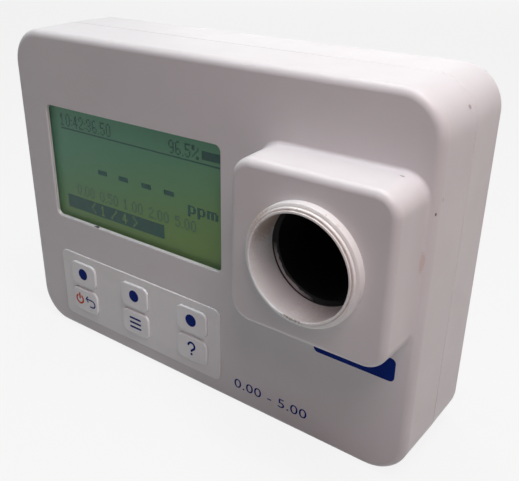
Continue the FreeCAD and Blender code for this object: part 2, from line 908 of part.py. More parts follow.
def ribbon_sockets():
    """Socket boxes on the rear of the main board: name, x range, y range, z range."""
    y0 = y_board + board_thickness
    x1 = board_right - socket_inset
    x0 = x1 - socket_length
    tall = y0 + ribbon_standoff + ribbon_width + ribbon_standoff
    z_top = detector_z + board_thickness
    z_low = lamp_z - board_thickness - ribbon_thickness
    half = socket_height / 2
    upper = (x0, x1, y0, tall, z_top + ribbon_thickness / 2 - half, z_top + ribbon_thickness / 2 + half)
    lower = (x0, x1, y0, tall, z_low + ribbon_thickness / 2 - half, z_low + ribbon_thickness / 2 + half)
    side = (x0, x1, y0, y0 + ribbon_standoff + half,
            splitter_z - ribbon_width / 2 - socket_side, splitter_z + ribbon_width / 2 + socket_side)
    return [upper, lower, side]


def make_straight_ribbon(z0):
    y0 = y_board + board_thickness + ribbon_standoff
    return box(board_right - socket_inset, block_x, y0, y0 + ribbon_width, z0, z0 + ribbon_thickness)


def make_reference_ribbon():
    """Flat ribbon that leaves the socket sideways and turns up the reference board."""
    t = ribbon_thickness
    y0 = y_board + board_thickness + ribbon_standoff
    x0 = board_right - socket_inset
    x1 = block_x - housing_half_width - board_thickness
    bend = ribbon_bend_radius
    y1 = y_optical
    outer = Part.Arc(vec(x1 - bend, y0, 0), vec(x1 - bend + bend * math.sqrt(0.5), y0 + bend
                     - bend * math.sqrt(0.5), 0), vec(x1, y0 + bend, 0)).toShape()
    r = bend - t
    inner = Part.Arc(vec(x1 - bend, y0 + t, 0), vec(x1 - bend + r * math.sqrt(0.5), y0 + bend
                     - r * math.sqrt(0.5), 0), vec(x1 - t, y0 + bend, 0)).toShape()
    edges = [
        Part.makeLine(vec(x0, y0, 0), vec(x1 - bend, y0, 0)),
        outer,
        Part.makeLine(vec(x1, y0 + bend, 0), vec(x1, y1, 0)),
        Part.makeLine(vec(x1, y1, 0), vec(x1 - t, y1, 0)),
        Part.makeLine(vec(x1 - t, y1, 0), vec(x1 - t, y0 + bend, 0)),
        inner,
        Part.makeLine(vec(x1 - bend, y0 + t, 0), vec(x0, y0 + t, 0)),
        Part.makeLine(vec(x0, y0 + t, 0), vec(x0, y0, 0)),
    ]
    strip = Part.Face(Part.Wire(Part.__sortEdges__(edges))).extrude(vec(0, 0, ribbon_width))
    strip.translate(vec(0, 0, splitter_z - ribbon_width / 2))
    return strip


def make_battery_tray():
    y0 = y_face + board_back + component_space
    y1 = y_tray_flange
    width = tray_inside_width + 2 * tray_wall
    length = tray_inside_length + 2 * tray_wall
    bucket = plate(width, length, tray_corner_radius, cover_x, cover_z, y0, y1)
    solids = [bucket, disc(ring_outer, cover_x, cover_z, y1 - tray_flange_thickness, y1)]
    for x, z in tray_boss_places():
        solids.append(disc(tray_boss_radius, x, z, y1 - tray_flange_thickness, y1))
    cuts = [plate(tray_inside_width, tray_inside_length, tray_inside_radius,
                  cover_x, cover_z, y0 + tray_floor, y1)]
    for x, z in tray_boss_places():
        cuts.append(disc(small_screw_radius + screw_clearance, x, z, y1 - tray_flange_thickness, y1))
    for x, sign in contact_tails():
        cuts.append(contact_tail(x, sign, y0, y0 + tray_floor, fit_clearance))
    return join(solids).cut(cuts)


def contact_tails():
    """Place in X and end of the tray, 1 above and -1 below, of the two leads to the board."""
    return [(cover_x + cell_pitch, 1), (cover_x - cell_pitch, -1)]


def contact_tail(x, sign, y0, y1, spare):
    half = contact_tail_width / 2 + spare
    outer = cover_z + sign * (tray_inside_length / 2 - 2 * fit_clearance + spare)
    inner = outer - sign * (contact_thickness + 2 * spare)
    return box(x - half, x + half, y0, y1, min(outer, inner), max(outer, inner))


def make_contact_leaf(x, sign):
    """Bowed leaf that stands off the tray's end and touches the cell."""
    base = tray_inside_length / 2 - 2 * fit_clearance - contact_thickness
    reach = cell_length / 2 + fit_clearance
    half = contact_height / 2
    t = contact_thickness
    outer = Part.Arc(vec(x, cell_y - half, base), vec(x, cell_y, reach), vec(x, cell_y + half, base))
    inner = Part.Arc(vec(x, cell_y - half + t, base), vec(x, cell_y, reach + t),
                     vec(x, cell_y + half - t, base))
    edges = [
        outer.toShape(),
        Part.makeLine(vec(x, cell_y + half, base), vec(x, cell_y + half - t, base)),
        inner.toShape(),
        Part.makeLine(vec(x, cell_y - half + t, base), vec(x, cell_y - half, base)),
    ]
    leaf = Part.Face(Part.Wire(Part.__sortEdges__(edges))).extrude(vec(contact_width, 0, 0))
    leaf.translate(vec(-contact_width / 2, 0, 0))
    if sign < 0:
        leaf = leaf.mirror(vec(0, 0, 0), vec(0, 0, 1))
    leaf.translate(vec(0, 0, cover_z))
    return leaf


def make_contacts(sign):
    """A bridge across two cells and a single contact with a tail to the main board."""
    outer = tray_inside_length / 2 - 2 * fit_clearance
    z0 = cover_z + sign * (outer - contact_thickness)
    z1 = cover_z + sign * outer
    half_w = contact_width / 2
    half_h = contact_height / 2
    bridge_x = [cover_x - sign * cell_pitch, cover_x]
    bridge = box(min(bridge_x) - half_w, max(bridge_x) + half_w, cell_y - half_h, cell_y + half_h,
                 min(z0, z1), max(z0, z1))
    single_x = cover_x + sign * cell_pitch
    single = box(single_x - half_w, single_x + half_w, cell_y - half_h, cell_y + half_h,
                 min(z0, z1), max(z0, z1))
    tail = contact_tail(single_x, sign, y_board + board_thickness, cell_y - half_h, 0)
    bridge_solid = join([bridge] + [make_contact_leaf(x, sign) for x in bridge_x])
    single_solid = join([single, make_contact_leaf(single_x, sign), tail])
    return [bridge_solid, single_solid]


def make_cell(index):
    """Round cell lying along Z; the middle one points the other way."""
    x = cover_x + (index - 1) * cell_pitch
    half = cell_length / 2
    r = cell_diameter / 2
    profile = [
        (0, -half),
        (r - cell_bevel, -half),
        (r, -half + cell_bevel),
        (r, half - cell_nipple_height - cell_bevel),
        (r - cell_bevel, half - cell_nipple_height),
        (cell_nipple_radius, half - cell_nipple_height),
        (cell_nipple_radius, half),
        (0, half),
    ]
    cell = turned_upright(profile, x, cell_y)
    if index == 1:
        cell = cell.mirror(vec(0, 0, 0), vec(0, 0, 1))
    cell.translate(vec(0, 0, cover_z))
    return cell


def make_battery_cover():
    y_under = y_ledge + cover_seat_gap
    plate_disc = disc(cover_radius, cover_x, cover_z, y_under, y_back)
    plate_disc = plate_disc.makeChamfer(cover_edge_chamfer, edges_at(plate_disc, y_back))
    skirt = disc(skirt_outer, cover_x, cover_z, y_lug_end, y_under)
    solids = [plate_disc, skirt]
    step = 360.0 / cover_lugs
    for i in range(cover_lugs):
        solids.append(sector(
            skirt_outer - lug_root, lug_outer, cover_x, cover_z, y_lug_end, y_lug, i * step, lug_angle,
        ))
    cover = join(solids)
    pocket = disc(grip_pocket_radius, cover_x, cover_z, y_back - grip_pocket_depth, y_back)
    bar = box(cover_x - grip_bar_width / 2, cover_x + grip_bar_width / 2,
              y_back - grip_pocket_depth, y_back,
              cover_z - grip_pocket_radius, cover_z + grip_pocket_radius)
    pocket = pocket.cut(bar)
    floor_edges = edges_at(pocket, y_back - grip_pocket_depth)
    pocket = pocket.makeChamfer(grip_pocket_chamfer, floor_edges)
    cuts = [disc(skirt_inner, cover_x, cover_z, y_lug_end, y_under), pocket]
    cuts.append(seal_ring(seal_section / 2 + fit_clearance, y_under, y_under + seal_section))
    return cover.cut(cuts)


def seal_ring(half, y0, y1):
    """Flat ring on the land outside the bayonet's slots."""
    mean = undercut_radius + seal_land / 2 - cover_rim_clearance / 2
    outer = disc(mean + half, cover_x, cover_z, y0, y1)
    return outer.cut(disc(mean - half, cover_x, cover_z, y0, y1))


def main():
    os.makedirs("parts", exist_ok=True)
    save("front_shell", make_front_shell())
    save("rear_shell", make_rear_shell())
    save("shell_gasket", make_shell_gasket())
    save("port_collar", make_port_collar())
    save("well_gasket", make_well_gasket())
    save("cuvette_well", make_cuvette_well())
    save("lamp_housing", make_lamp_housing())
    save("detector_housing", make_detector_housing())
    save("lamp", make_lamp())
    save("condenser_lens", make_lens())
    save("retaining_ring", make_retaining_ring())
    save("splitter_mount", make_splitter_mount())
    save("beam_splitter", splitter_block(splitter_length, splitter_width, splitter_thickness))
    save("interference_filter", rod(stack_radius, block_x, y_optical, filter_z, stack_top))
    h = housing_half_width
    save("reference_detector", Part.makeCylinder(
        reference_radius, reference_length, vec(block_x - h, y_optical, splitter_z), vec(1, 0, 0)))
    half = reference_board_half
    save("reference_board", box(
        block_x - h - board_thickness, block_x - h, y_optical - half, y_optical + half,
        splitter_z - half, splitter_z + half))
    save("lamp_board", box(
        block_x - h, block_x + h, y_optical - h, y_optical + h, lamp_z - board_thickness, lamp_z))
    save("photodetector", rod(
        detector_radius, block_x, y_optical, detector_z - detector_height, detector_z))
    d = detector_half_width
    save("detector_board", box(
        block_x - d, block_x + d, y_optical - d, y_optical + d, detector_z, detector_z + board_thickness))
    save("display_window", make_display_window())
    make_display_stack()
    save("keypad_panel", make_keypad_panel())
    switches = []
    for name, x, z in key_places():
        save("key_" + name, make_key(x, z))
        save("switch_plunger_" + name, make_plunger(x, z))
        switches.append(make_switch(x, z))
    save_group("key_switches", switches)
    save("main_board", make_main_board())
    save_group("board_components", make_components())
    save_group("ribbon_sockets", [box(*limits) for limits in ribbon_sockets()])
    save("detector_ribbon", make_straight_ribbon(detector_z + board_thickness))
    save("lamp_ribbon", make_straight_ribbon(lamp_z - board_thickness - ribbon_thickness))
    save("reference_ribbon", make_reference_ribbon())
    save("battery_tray", make_battery_tray())
    save_group("contacts_upper", make_contacts(1))
    save_group("contacts_lower", make_contacts(-1))
    for index in range(3):
        save("battery_cell_" + str(index + 1), make_cell(index))
    save("battery_cover", make_battery_cover())
    y_under = y_ledge + cover_seat_gap
    save("cover_seal", seal_ring(seal_section / 2, y_under, y_under + seal_section))

    small = (small_screw_length, small_screw_radius, small_screw_head_radius, small_screw_head_height)
    save_group("well_screws", [
        screw(x, z, well_front + well_flange_thickness, *small, -1) for x, z in well_post_places()])
    save_group("optics_screws", [
        screw(x, z, y + ear_thickness, *small, -1) for x, z, y in ear_places()])
    save_group("board_screws", [
        screw(x, z, y_board + board_thickness, *small, -1) for x, z in board_post_places()])
    save_group("tray_screws", [
        screw(x, z, y_tray_flange - tray_flange_thickness, *small, 1) for x, z in tray_boss_places()])
    save_group("case_screws", [
        screw(x, z, y_back - case_counterbore_depth, case_screw_length, case_screw_radius,
              case_screw_head_radius, case_screw_head_height, -1)
        for x, z in case_boss_places()])


main()
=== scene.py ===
import json
import math

import bmesh
import bpy
from bpy.props import FloatProperty, FloatVectorProperty, PointerProperty, StringProperty
from mathutils import Euler, Matrix, Vector, noise


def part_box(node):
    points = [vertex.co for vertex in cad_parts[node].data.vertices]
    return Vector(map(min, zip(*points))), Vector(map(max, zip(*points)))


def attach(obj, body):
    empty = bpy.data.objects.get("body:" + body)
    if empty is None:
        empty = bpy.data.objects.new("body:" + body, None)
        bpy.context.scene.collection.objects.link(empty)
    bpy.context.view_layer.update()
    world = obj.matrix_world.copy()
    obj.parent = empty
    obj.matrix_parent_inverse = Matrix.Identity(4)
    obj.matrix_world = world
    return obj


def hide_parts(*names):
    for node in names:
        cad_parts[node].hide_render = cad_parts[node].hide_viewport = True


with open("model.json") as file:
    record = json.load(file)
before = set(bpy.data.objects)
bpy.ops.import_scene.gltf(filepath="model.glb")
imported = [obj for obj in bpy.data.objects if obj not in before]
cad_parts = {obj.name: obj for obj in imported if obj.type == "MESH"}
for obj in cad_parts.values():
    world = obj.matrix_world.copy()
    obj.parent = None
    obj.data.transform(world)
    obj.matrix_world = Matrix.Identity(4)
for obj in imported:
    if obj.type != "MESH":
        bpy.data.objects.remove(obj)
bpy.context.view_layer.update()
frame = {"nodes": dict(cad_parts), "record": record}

bl_info = {
    "name": "Portable Photometer",
    "version": (1, 0, 0),
    "blender": (4, 5, 0),
    "location": "3D View > Sidebar > Photometer",
    "description": "Finishes, printed signs, display picture and light for a portable photometer",
    "category": "Object",
}

MM = 0.001
NODE_SLOTS = {row["node"]: row["material_slot"] for row in frame["record"]["subparts"]}
NODE_BODIES = {node: body for body, nodes in frame["record"]["behaviour"]["bodies"].items() for node in nodes}

# Places that the frame gives
FACE_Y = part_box("front_shell")[1].y - 0.0168
WINDOW_LOW, WINDOW_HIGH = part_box("display_window")
LCD_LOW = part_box("lcd_panel")[0]
COLLAR_LOW, COLLAR_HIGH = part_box("port_collar")
COVER_LOW, COVER_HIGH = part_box("battery_cover")
BACK_Y = COVER_HIGH.y


# User values

def length(name, description, default):
    """A size, given in millimetres."""
    return FloatProperty(name=name, description=description, default=default * MM, unit="LENGTH", precision=5)


def colour(name, description, default):
    return FloatVectorProperty(name=name, description=description, default=default, subtype="COLOR",
                               min=0.0, max=1.0)


def amount(name, description, default):
    return FloatProperty(name=name, description=description, default=default, min=0.0, subtype="FACTOR")


def power(name, description, default):
    return FloatProperty(name=name, description=description, default=default, min=0.0, unit="POWER")


class PhotometerFinish(bpy.types.PropertyGroup):
    shell: colour("Shell", "Moulded casing", (0.735, 0.715, 0.725))
    shell_deep: colour("Shell, deep", "Slightly darker flow of the moulding", (0.690, 0.668, 0.680))
    collar: colour("Collar", "Port collar", (0.895, 0.905, 0.905))
    collar_deep: colour("Collar, deep", "Handled places of the collar", (0.850, 0.815, 0.790))
    keypad: colour("Keypad", "Panel round the keys", (0.920, 0.925, 0.925))
    key: colour("Keys", "Key tops", (0.930, 0.940, 0.950))
    navy: colour("Navy", "Printed signs and label", (0.0010, 0.020, 0.215))
    power: colour("Power sign", "Sign that switches on and off", (0.600, 0.070, 0.020))
    # Painted light: the display runs from darker at the upper left to yellower at the foot as painted shade
    # and reflection, and its glow is painted light on the shaded panel.
    display_top: colour("Display, top", "Panel colour at the upper left", (0.095, 0.315, 0.230))
    display_foot: colour("Display, foot", "Panel colour at the lower right", (0.175, 0.285, 0.040))
    glow: colour("Display glow", "Painted light that lifts the panel where it lies in shade", (0.30, 0.60, 0.34))
    ink: colour("Display ink", "Dots that are switched on", (0.006, 0.080, 0.080))
    ghost: colour("Display ghost", "Dots that are half switched on", (0.060, 0.165, 0.115))


class PhotometerSizes(bpy.types.PropertyGroup):
    print_thickness: length("Print thickness", "How far a print stands proud", 0.03)
    dot_pitch: length("Dot pitch", "Distance between the display's dots", 0.506)
    dot_side: length("Dot side", "Side of one display dot", 0.475)
    dot_diameter: length("Key dot", "Round dot on the upper keys", 4.1)
    stroke: length("Stroke", "Line width of the key signs", 0.62)
    collar_base: length("Collar base radius", "Foot of the port collar", 15.5)
    collar_shoulder: length("Collar shoulder radius", "Step below the lip", 14.95)
    collar_lip: length("Collar lip radius", "Front end of the port collar", 14.6)
    collar_bore: length("Collar bore radius", "Inside of the port collar", 13.4)
    collar_step: length("Collar step", "Height of the foot", 2.3)
    collar_rise: length("Collar rise", "From the block to the rim", 3.5)
    lip_width: length("Lip width", "Narrow lip round the mouth of the collar", 0.6)
    ring_drop: length("Ring drop", "How far the outer ring stands behind the lip", 0.5)
    chip_depth: length("Chip depth", "Broken edge of the rim", 1.05)
    screw_radius: length("Screw head radius", "Case screws", 2.9)
    screw_height: length("Screw head height", "Case screws", 2.0)
    recess_width: length("Recess width", "Arm of the cross recess", 0.9)
    recess_length: length("Recess length", "Span of the cross recess", 3.4)
    recess_depth: length("Recess depth", "Depth of the cross recess", 1.2)


class PhotometerStage(bpy.types.PropertyGroup):
    camera_place: FloatVectorProperty(
        name="Camera place", description="Where the camera stands", subtype="TRANSLATION",
        default=(0.12773, -0.15283, 0.14095), precision=5)
    camera_turn: FloatVectorProperty(
        name="Camera turn", description="How the camera is turned", subtype="EULER",
        default=(math.radians(63.4832), math.radians(1.1451), math.radians(39.8969)), precision=5)
    camera_lens: FloatProperty(name="Lens", description="Focal length for a 36 mm sensor", default=51.61)
    camera_shift: FloatVectorProperty(
        name="Shift", description="Camera shift across and up", size=2, default=(0.1118, 0.0277))
    top_power: power("Top light", "Long soft light above", 1.36)
    strip_power: power("Strip light", "Narrow light just before the face", 0.67)
    side_power: power("Side light", "Soft light at the right", 0.44)
    front_power: power("Front light", "Small soft light above the camera's side", 0.34)
    back_power: power("Back light", "Soft light behind, for the back of the casing", 1.05)
    backdrop: amount("Backdrop", "Paleness of floor and surroundings as they are seen", 0.87)
    sky: amount("Sky", "Even light from all round", 0.002)
    sky_tint: colour("Sky tint", "Colour of the even light", (1.0, 0.86, 0.88))


# Soft lamps: name, place, target, width, depth and colour
LAMPS = (
    ("top", (0.05, 0.03, 0.50), (0.03, 0.0, 0.05), 0.60, 0.12, (0.99, 1.0, 0.96)),
    ("strip", (0.03, -0.03, 0.48), (0.03, -0.01, 0.08), 0.50, 0.03, (0.75, 0.93, 1.0)),
    ("side", (0.55, 0.10, 0.35), (0.03, 0.0, 0.05), 0.50, 0.40, (1.0, 0.64, 0.58)),
    ("front", (0.17, -0.13, 0.33), (0.05, 0.0, 0.08), 0.16, 0.16, (1.0, 0.73, 0.76)),
    ("back", (-0.42, 0.92, 0.11), (0.0, 0.0, 0.05), 0.70, 0.21, (1.0, 0.97, 0.95)),
)


# Meshes

def smooth(mesh, degrees):
    mesh.shade_smooth()
    mesh.set_sharp_from_angle(angle=math.radians(degrees))


def add_piece(name, mesh, body, material=None):
    """Link a finished mesh that already lies in its place, and let it ride on its body."""
    piece = bpy.data.objects.new(name, mesh)
    bpy.context.scene.collection.objects.link(piece)
    if material:
        mesh.materials.clear()
        mesh.materials.append(material)
    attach(piece, body)
    return piece


def flat_regions(bm):
    """Number of the flat region that each face belongs to, and the area of each region."""
    regions = {}
    areas = []
    for seed in bm.faces:
        if seed.index in regions:
            continue
        number = len(areas)
        regions[seed.index] = number
        waiting = [seed]
        area = 0.0
        while waiting:
            face = waiting.pop()
            area += face.calc_area()
            for edge in face.edges:
                for other in edge.link_faces:
                    if other.index not in regions and face.normal.dot(other.normal) > 0.99999:
                        regions[other.index] = number
                        waiting.append(other)
        areas.append(area)
    return regions, areas


def even_normals(bm, degrees):
    """Corner normals: rounded edges are smooth, and run out in the direction of the flat beside them."""
    regions, areas = flat_regions(bm)
    flat_area = min(0.04 * sum(areas), 250.0 * MM * MM)
    near = math.cos(math.radians(degrees))
    normals = []
    for face in bm.faces:
        for loop in face.loops:
            around = [f for f in loop.vert.link_faces if f.normal.dot(face.normal) > near]
            widest = max(around, key=lambda f: areas[regions[f.index]])
            if areas[regions[widest.index]] > flat_area:
                normals.append(widest.normal.copy())
                continue
            total = Vector()
            for other in around:
                total += other.normal * other.calc_area()
            normals.append(total.normalized() if total.length > 0.0 else face.normal.copy())
    return normals


def dress(node, material, degrees=32.0):
    """A welded, smoothly shaded copy of a node takes its place."""
    mesh = frame["nodes"][node].data.copy()
    mesh.name = node + "_dressed"
    bm = bmesh.new()
    bm.from_mesh(mesh)
    bmesh.ops.remove_doubles(bm, verts=bm.verts, dist=1e-6)
    bm.faces.index_update()
    bm.normal_update()
    normals = even_normals(bm, degrees)
    bm.to_mesh(mesh)
    bm.free()
    mesh.shade_smooth()
    mesh.normals_split_custom_set(normals)
    piece = add_piece(node + "_dressed", mesh, NODE_BODIES[node], material)
    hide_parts(node)
    return piece


def paint(node, material):
    """A node that keeps its own mesh gets its finish."""
    mesh = frame["nodes"][node].data
    mesh.materials.clear()
    mesh.materials.append(material)


def arc(x, z, radius, start, end, steps):
    """Points along an arc, with angles in degrees from +X towards +Z."""
    points = []
    for i in range(steps + 1):
        a = math.radians(start + (end - start) * i / steps)
        points.append((x + radius * math.cos(a), z + radius * math.sin(a)))
    return points


def rounded_rectangle(x, z, width, height, radius, steps=8):
    points = []
    for sx, sz, start in ((1, 1, 0), (-1, 1, 90), (-1, -1, 180), (1, -1, 270)):
        cx = x + sx * (width / 2 - radius)
        cz = z + sz * (height / 2 - radius)
        points += arc(cx, cz, radius, start, start + 90, steps)
    return points


def round_outline(x, z, radius, steps=40):
    return [(x + radius * math.cos(2 * math.pi * i / steps), z + radius * math.sin(2 * math.pi * i / steps))
            for i in range(steps)]


def stroke(points, width, end_steps=6):
    """Outline of a line of even width with round ends."""
    half = width / 2
    left = []
    right = []
    count = len(points)
    for i, (x, z) in enumerate(points):
        before = points[max(i - 1, 0)]
        after = points[min(i + 1, count - 1)]
        dx, dz = after[0] - before[0], after[1] - before[1]
        span = math.hypot(dx, dz)
        nx, nz = -dz / span * half, dx / span * half
        left.append((x + nx, z + nz))
        right.append((x - nx, z - nz))

    def cap(centre, first):
        angle = math.atan2(first[1] - centre[1], first[0] - centre[0])
        return [(centre[0] + half * math.cos(angle - math.pi * k / end_steps),
                 centre[1] + half * math.sin(angle - math.pi * k / end_steps))
                for k in range(1, end_steps)]

    return left + cap(points[-1], left[-1]) + right[::-1] + cap(points[0], right[0])


def prisms(name, outlines, y_front, y_back):
    """Closed flat pieces with the given outlines in X and Z, in metres."""
    bm = bmesh.new()
    for outline in outlines:
        front = [bm.verts.new((x, y_front, z)) for x, z in outline]
        back = [bm.verts.new((x, y_back, z)) for x, z in outline]
        bm.faces.new(front)
        bm.faces.new(back[::-1])
        for i in range(len(outline)):
            j = (i + 1) % len(outline)
            bm.faces.new((front[j], front[i], back[i], back[j]))
    bm.normal_update()
    bmesh.ops.triangulate(bm, faces=[f for f in bm.faces if len(f.verts) > 4])
    bmesh.ops.recalc_face_normals(bm, faces=bm.faces)
    mesh = bpy.data.meshes.new(name)
    bm.to_mesh(mesh)
    bm.free()
    return mesh


def print_on_face(name, outlines, y_surface, body, material):
    """A print on a surface that looks along -Y."""
    thickness = bpy.context.scene.photometer_sizes.print_thickness
    sunk = 0.01 * MM
    mesh = prisms(name, outlines, y_surface - thickness, y_surface + sunk)
    return add_piece(name, mesh, body, material)


def baked(name, mesh, tree, values):
    """The plain mesh that a geometry tree makes from a starting mesh."""
    start = bpy.data.objects.new(name + "_start", mesh)
    bpy.context.scene.collection.objects.link(start)
    modifier = start.modifiers.new("Build", "NODES")
    modifier.node_group = tree
    sockets = {item.name: item.identifier for item in tree.interface.items_tree if item.in_out == "INPUT"}
    for key, value in values.items():
        modifier[sockets[key]] = value
    bpy.context.view_layer.update()
    result = bpy.data.meshes.new_from_object(start.evaluated_get(bpy.context.evaluated_depsgraph_get()))
    result.name = name
    start.modifiers.remove(modifier)
    bpy.data.objects.remove(start)
    return result


def point_mesh(name, points, edges=()):
    mesh = bpy.data.meshes.new(name)
    mesh.from_pydata([Vector(p) for p in points], list(edges), [])
    return mesh


# Node trees

FLOAT = "NodeSocketFloat"
COLOUR = "NodeSocketColor"
VECTOR = "NodeSocketVector"
GEOMETRY = "NodeSocketGeometry"
MATERIAL = "NodeSocketMaterial"
SHADER = "ShaderNodeTree"
SKIN = (("Color", COLOUR), ("Roughness", FLOAT), ("Height", FLOAT))
WHITE = (1.0, 1.0, 1.0, 1.0)


class Tree:
    """Adds nodes to a tree and joins them. An input value is a number, a colour, another node's socket, or
    a node, which stands for its first output."""

    def __init__(self, tree):
        self.tree = tree

    def fill(self, node, inputs):
        for key, value in inputs.items():
            if isinstance(value, bpy.types.Node):
                value = value.outputs[0]
            if isinstance(value, bpy.types.NodeSocket):
                self.tree.links.new(value, node.inputs[key])
            else:
                node.inputs[key].default_value = value
        return node

    def add(self, kind, inputs=None, **settings):
        node = self.tree.nodes.new(kind)
        for key, value in settings.items():
            setattr(node, key, value)
        return self.fill(node, inputs or {})

    def done(self, outputs):
        """Join a group's outputs, and return its tree."""
        self.add("NodeGroupOutput", outputs)
        return self.tree

    def place(self):
        """Place on the object."""
        return self.add("ShaderNodeTexCoord").outputs["Object"]

    def noise(self, scale, detail=2.0, rough=0.5, vector=None):
        return self.add("ShaderNodeTexNoise", {
            "Vector": self.place() if vector is None else vector, "Scale": scale, "Detail": detail,
            "Roughness": rough})

    def spread(self, value, low, high, start=0.0, end=1.0, **settings):
        """A value between start and end, spread from low to high."""
        return self.add("ShaderNodeMapRange", {
            "Value": value, "From Min": start, "From Max": end, "To Min": low, "To Max": high}, **settings)

    def math(self, operation, first, second, **settings):
        return self.add("ShaderNodeMath", {0: first, 1: second}, operation=operation, **settings)

    def vector(self, operation, *inputs):
        return self.add("ShaderNodeVectorMath", dict(enumerate(inputs)), operation=operation)

    def mix(self, share, first, second):
        """A colour between two others."""
        return self.add("ShaderNodeMix", {0: share, 6: first, 7: second}, data_type="RGBA").outputs[2]

    def bump(self, height, strength, depth):
        """A bump whose depth is in millimetres."""
        return self.add("ShaderNodeBump", {"Height": height, "Strength": strength, "Distance": depth * MM})

    def show(self, share, first, second):
        """Two shaders mixed as the surface that the material or the world shows."""
        mix = self.add("ShaderNodeMixShader", {0: share, 1: first, 2: second})
        output = next(n for n in self.tree.nodes if n.type in ("OUTPUT_MATERIAL", "OUTPUT_WORLD"))
        self.fill(output, {"Surface": mix})

    def seen_white(self, share):
        """Share of white that a camera, glossy or transmission ray meets, and no other ray."""
        ray = self.add("ShaderNodeLightPath").outputs
        seen = ray["Is Camera Ray"]
        for kind in ("Is Glossy Ray", "Is Transmission Ray"):
            seen = self.math("ADD", seen, ray[kind], use_clamp=True)
        return self.math("MULTIPLY", seen, share)


def open_group(name, kind, inputs, outputs):
    """Tree and given values of a new node group with named sockets."""
    tree = bpy.data.node_groups.new(name, kind)
    for label, socket_kind, default in inputs:
        socket = tree.interface.new_socket(name=label, in_out="INPUT", socket_type=socket_kind)
        if default is not None:
            socket.default_value = default
    for label, socket_kind in outputs:
        tree.interface.new_socket(name=label, in_out="OUTPUT", socket_type=socket_kind)
    t = Tree(tree)
    return t, t.add("NodeGroupInput").outputs


def rgba(values):
    return (values[0], values[1], values[2], 1.0)


# Geometry trees

def open_shape(name, inputs):
    """A geometry tree with a starting mesh, sizes and a material."""
    return open_group(name, "GeometryNodeTree", [
        ("Geometry", GEOMETRY, None), *inputs, ("Material", MATERIAL, None)], [("Geometry", GEOMETRY)])


def close_shape(t, given, geometry):
    """Real geometry with its material comes out."""
    whole = t.add("GeometryNodeRealizeInstances", {"Geometry": geometry})
    return t.done({"Geometry": t.add("GeometryNodeSetMaterial", {
        "Geometry": whole, "Material": given["Material"]})})


def dot_matrix_tree():
    """A small flat box on every point of the starting mesh."""
    t, given = open_shape("dot_matrix", [("Side", FLOAT, 0.0005), ("Thickness", FLOAT, 0.00002)])
    size = t.add("ShaderNodeCombineXYZ", {"X": given["Side"], "Y": given["Thickness"], "Z": given["Side"]})
    dot = t.add("GeometryNodeMeshCube", {"Size": size})
    points = t.add("GeometryNodeMeshToPoints", {"Mesh": given["Geometry"]})
    return close_shape(t, given, t.add("GeometryNodeInstanceOnPoints", {"Points": points, "Instance": dot}))


def turned_ring_tree():
    """The starting mesh is a closed profile, X outwards and Y along the axis, turned about that axis."""
    t, given = open_shape("turned_ring", [("Mean Radius", FLOAT, 0.014), ("Centre", VECTOR, None)])
    circle = t.add("GeometryNodeCurvePrimitiveCircle", {"Resolution": 288, "Radius": given["Mean Radius"]})
    profile = t.add("GeometryNodeMeshToCurve", {"Mesh": given["Geometry"]})
    ring = t.add("GeometryNodeCurveToMesh", {"Curve": circle, "Profile Curve": profile})
    return close_shape(t, given, t.add("GeometryNodeTransform", {
        "Geometry": ring, "Translation": given["Centre"], "Rotation": Euler((math.pi / 2, 0.0, 0.0))}))


def screw_tree():
    """A cross-recessed screw on every point, its drive looking along +Y."""
    t, given = open_shape("cross_screw", [
        ("Head Radius", FLOAT, 0.003), ("Head Height", FLOAT, 0.002), ("Shank Radius", FLOAT, 0.0015),
        ("Shank Height", FLOAT, 0.02), ("Recess Width", FLOAT, 0.001), ("Recess Length", FLOAT, 0.003),
        ("Recess Depth", FLOAT, 0.001)])

    def raised(geometry, height, factor):
        """Geometry moved along Z by a part of a height."""
        place = t.add("ShaderNodeCombineXYZ", {"Z": t.math("MULTIPLY", height, factor)})
        return t.add("GeometryNodeTransform", {"Geometry": geometry, "Translation": place})

    def cylinder(part, corners, factor):
        height = given[part + " Height"]
        return raised(t.add("GeometryNodeMeshCylinder", {
            "Vertices": corners, "Radius": given[part + " Radius"], "Depth": height}), height, factor)

    recess = t.add("GeometryNodeMeshBoolean", {"Mesh 1": cylinder("Head", 40, 0.5)}, operation="DIFFERENCE")
    deep = t.math("MULTIPLY", given["Recess Depth"], 2.0)
    for across, along in (("Recess Length", "Recess Width"), ("Recess Width", "Recess Length")):
        size = t.add("ShaderNodeCombineXYZ", {"X": given[across], "Y": given[along], "Z": deep})
        arm = t.add("GeometryNodeMeshCube", {"Size": size})
        t.fill(recess, {"Mesh 2": raised(arm, given["Head Height"], 1.0)})
    screw = t.add("GeometryNodeJoinGeometry", {"Geometry": recess})
    t.fill(screw, {"Geometry": cylinder("Shank", 24, -0.5)})
    upright = t.add("GeometryNodeInstanceOnPoints", {
        "Points": t.add("GeometryNodeMeshToPoints", {"Mesh": given["Geometry"]}), "Instance": screw,
        "Rotation": Euler((-math.pi / 2, 0.0, 0.0))})
    spin = t.add("FunctionNodeRandomValue", {2: 0.0, 3: math.pi / 2, "Seed": 7}, data_type="FLOAT")
    angle = t.add("ShaderNodeCombineXYZ", {"Z": spin.outputs[1]})
    return close_shape(t, given, t.add("GeometryNodeRotateInstances", {
        "Instances": upright, "Rotation": angle}))


# Shader groups

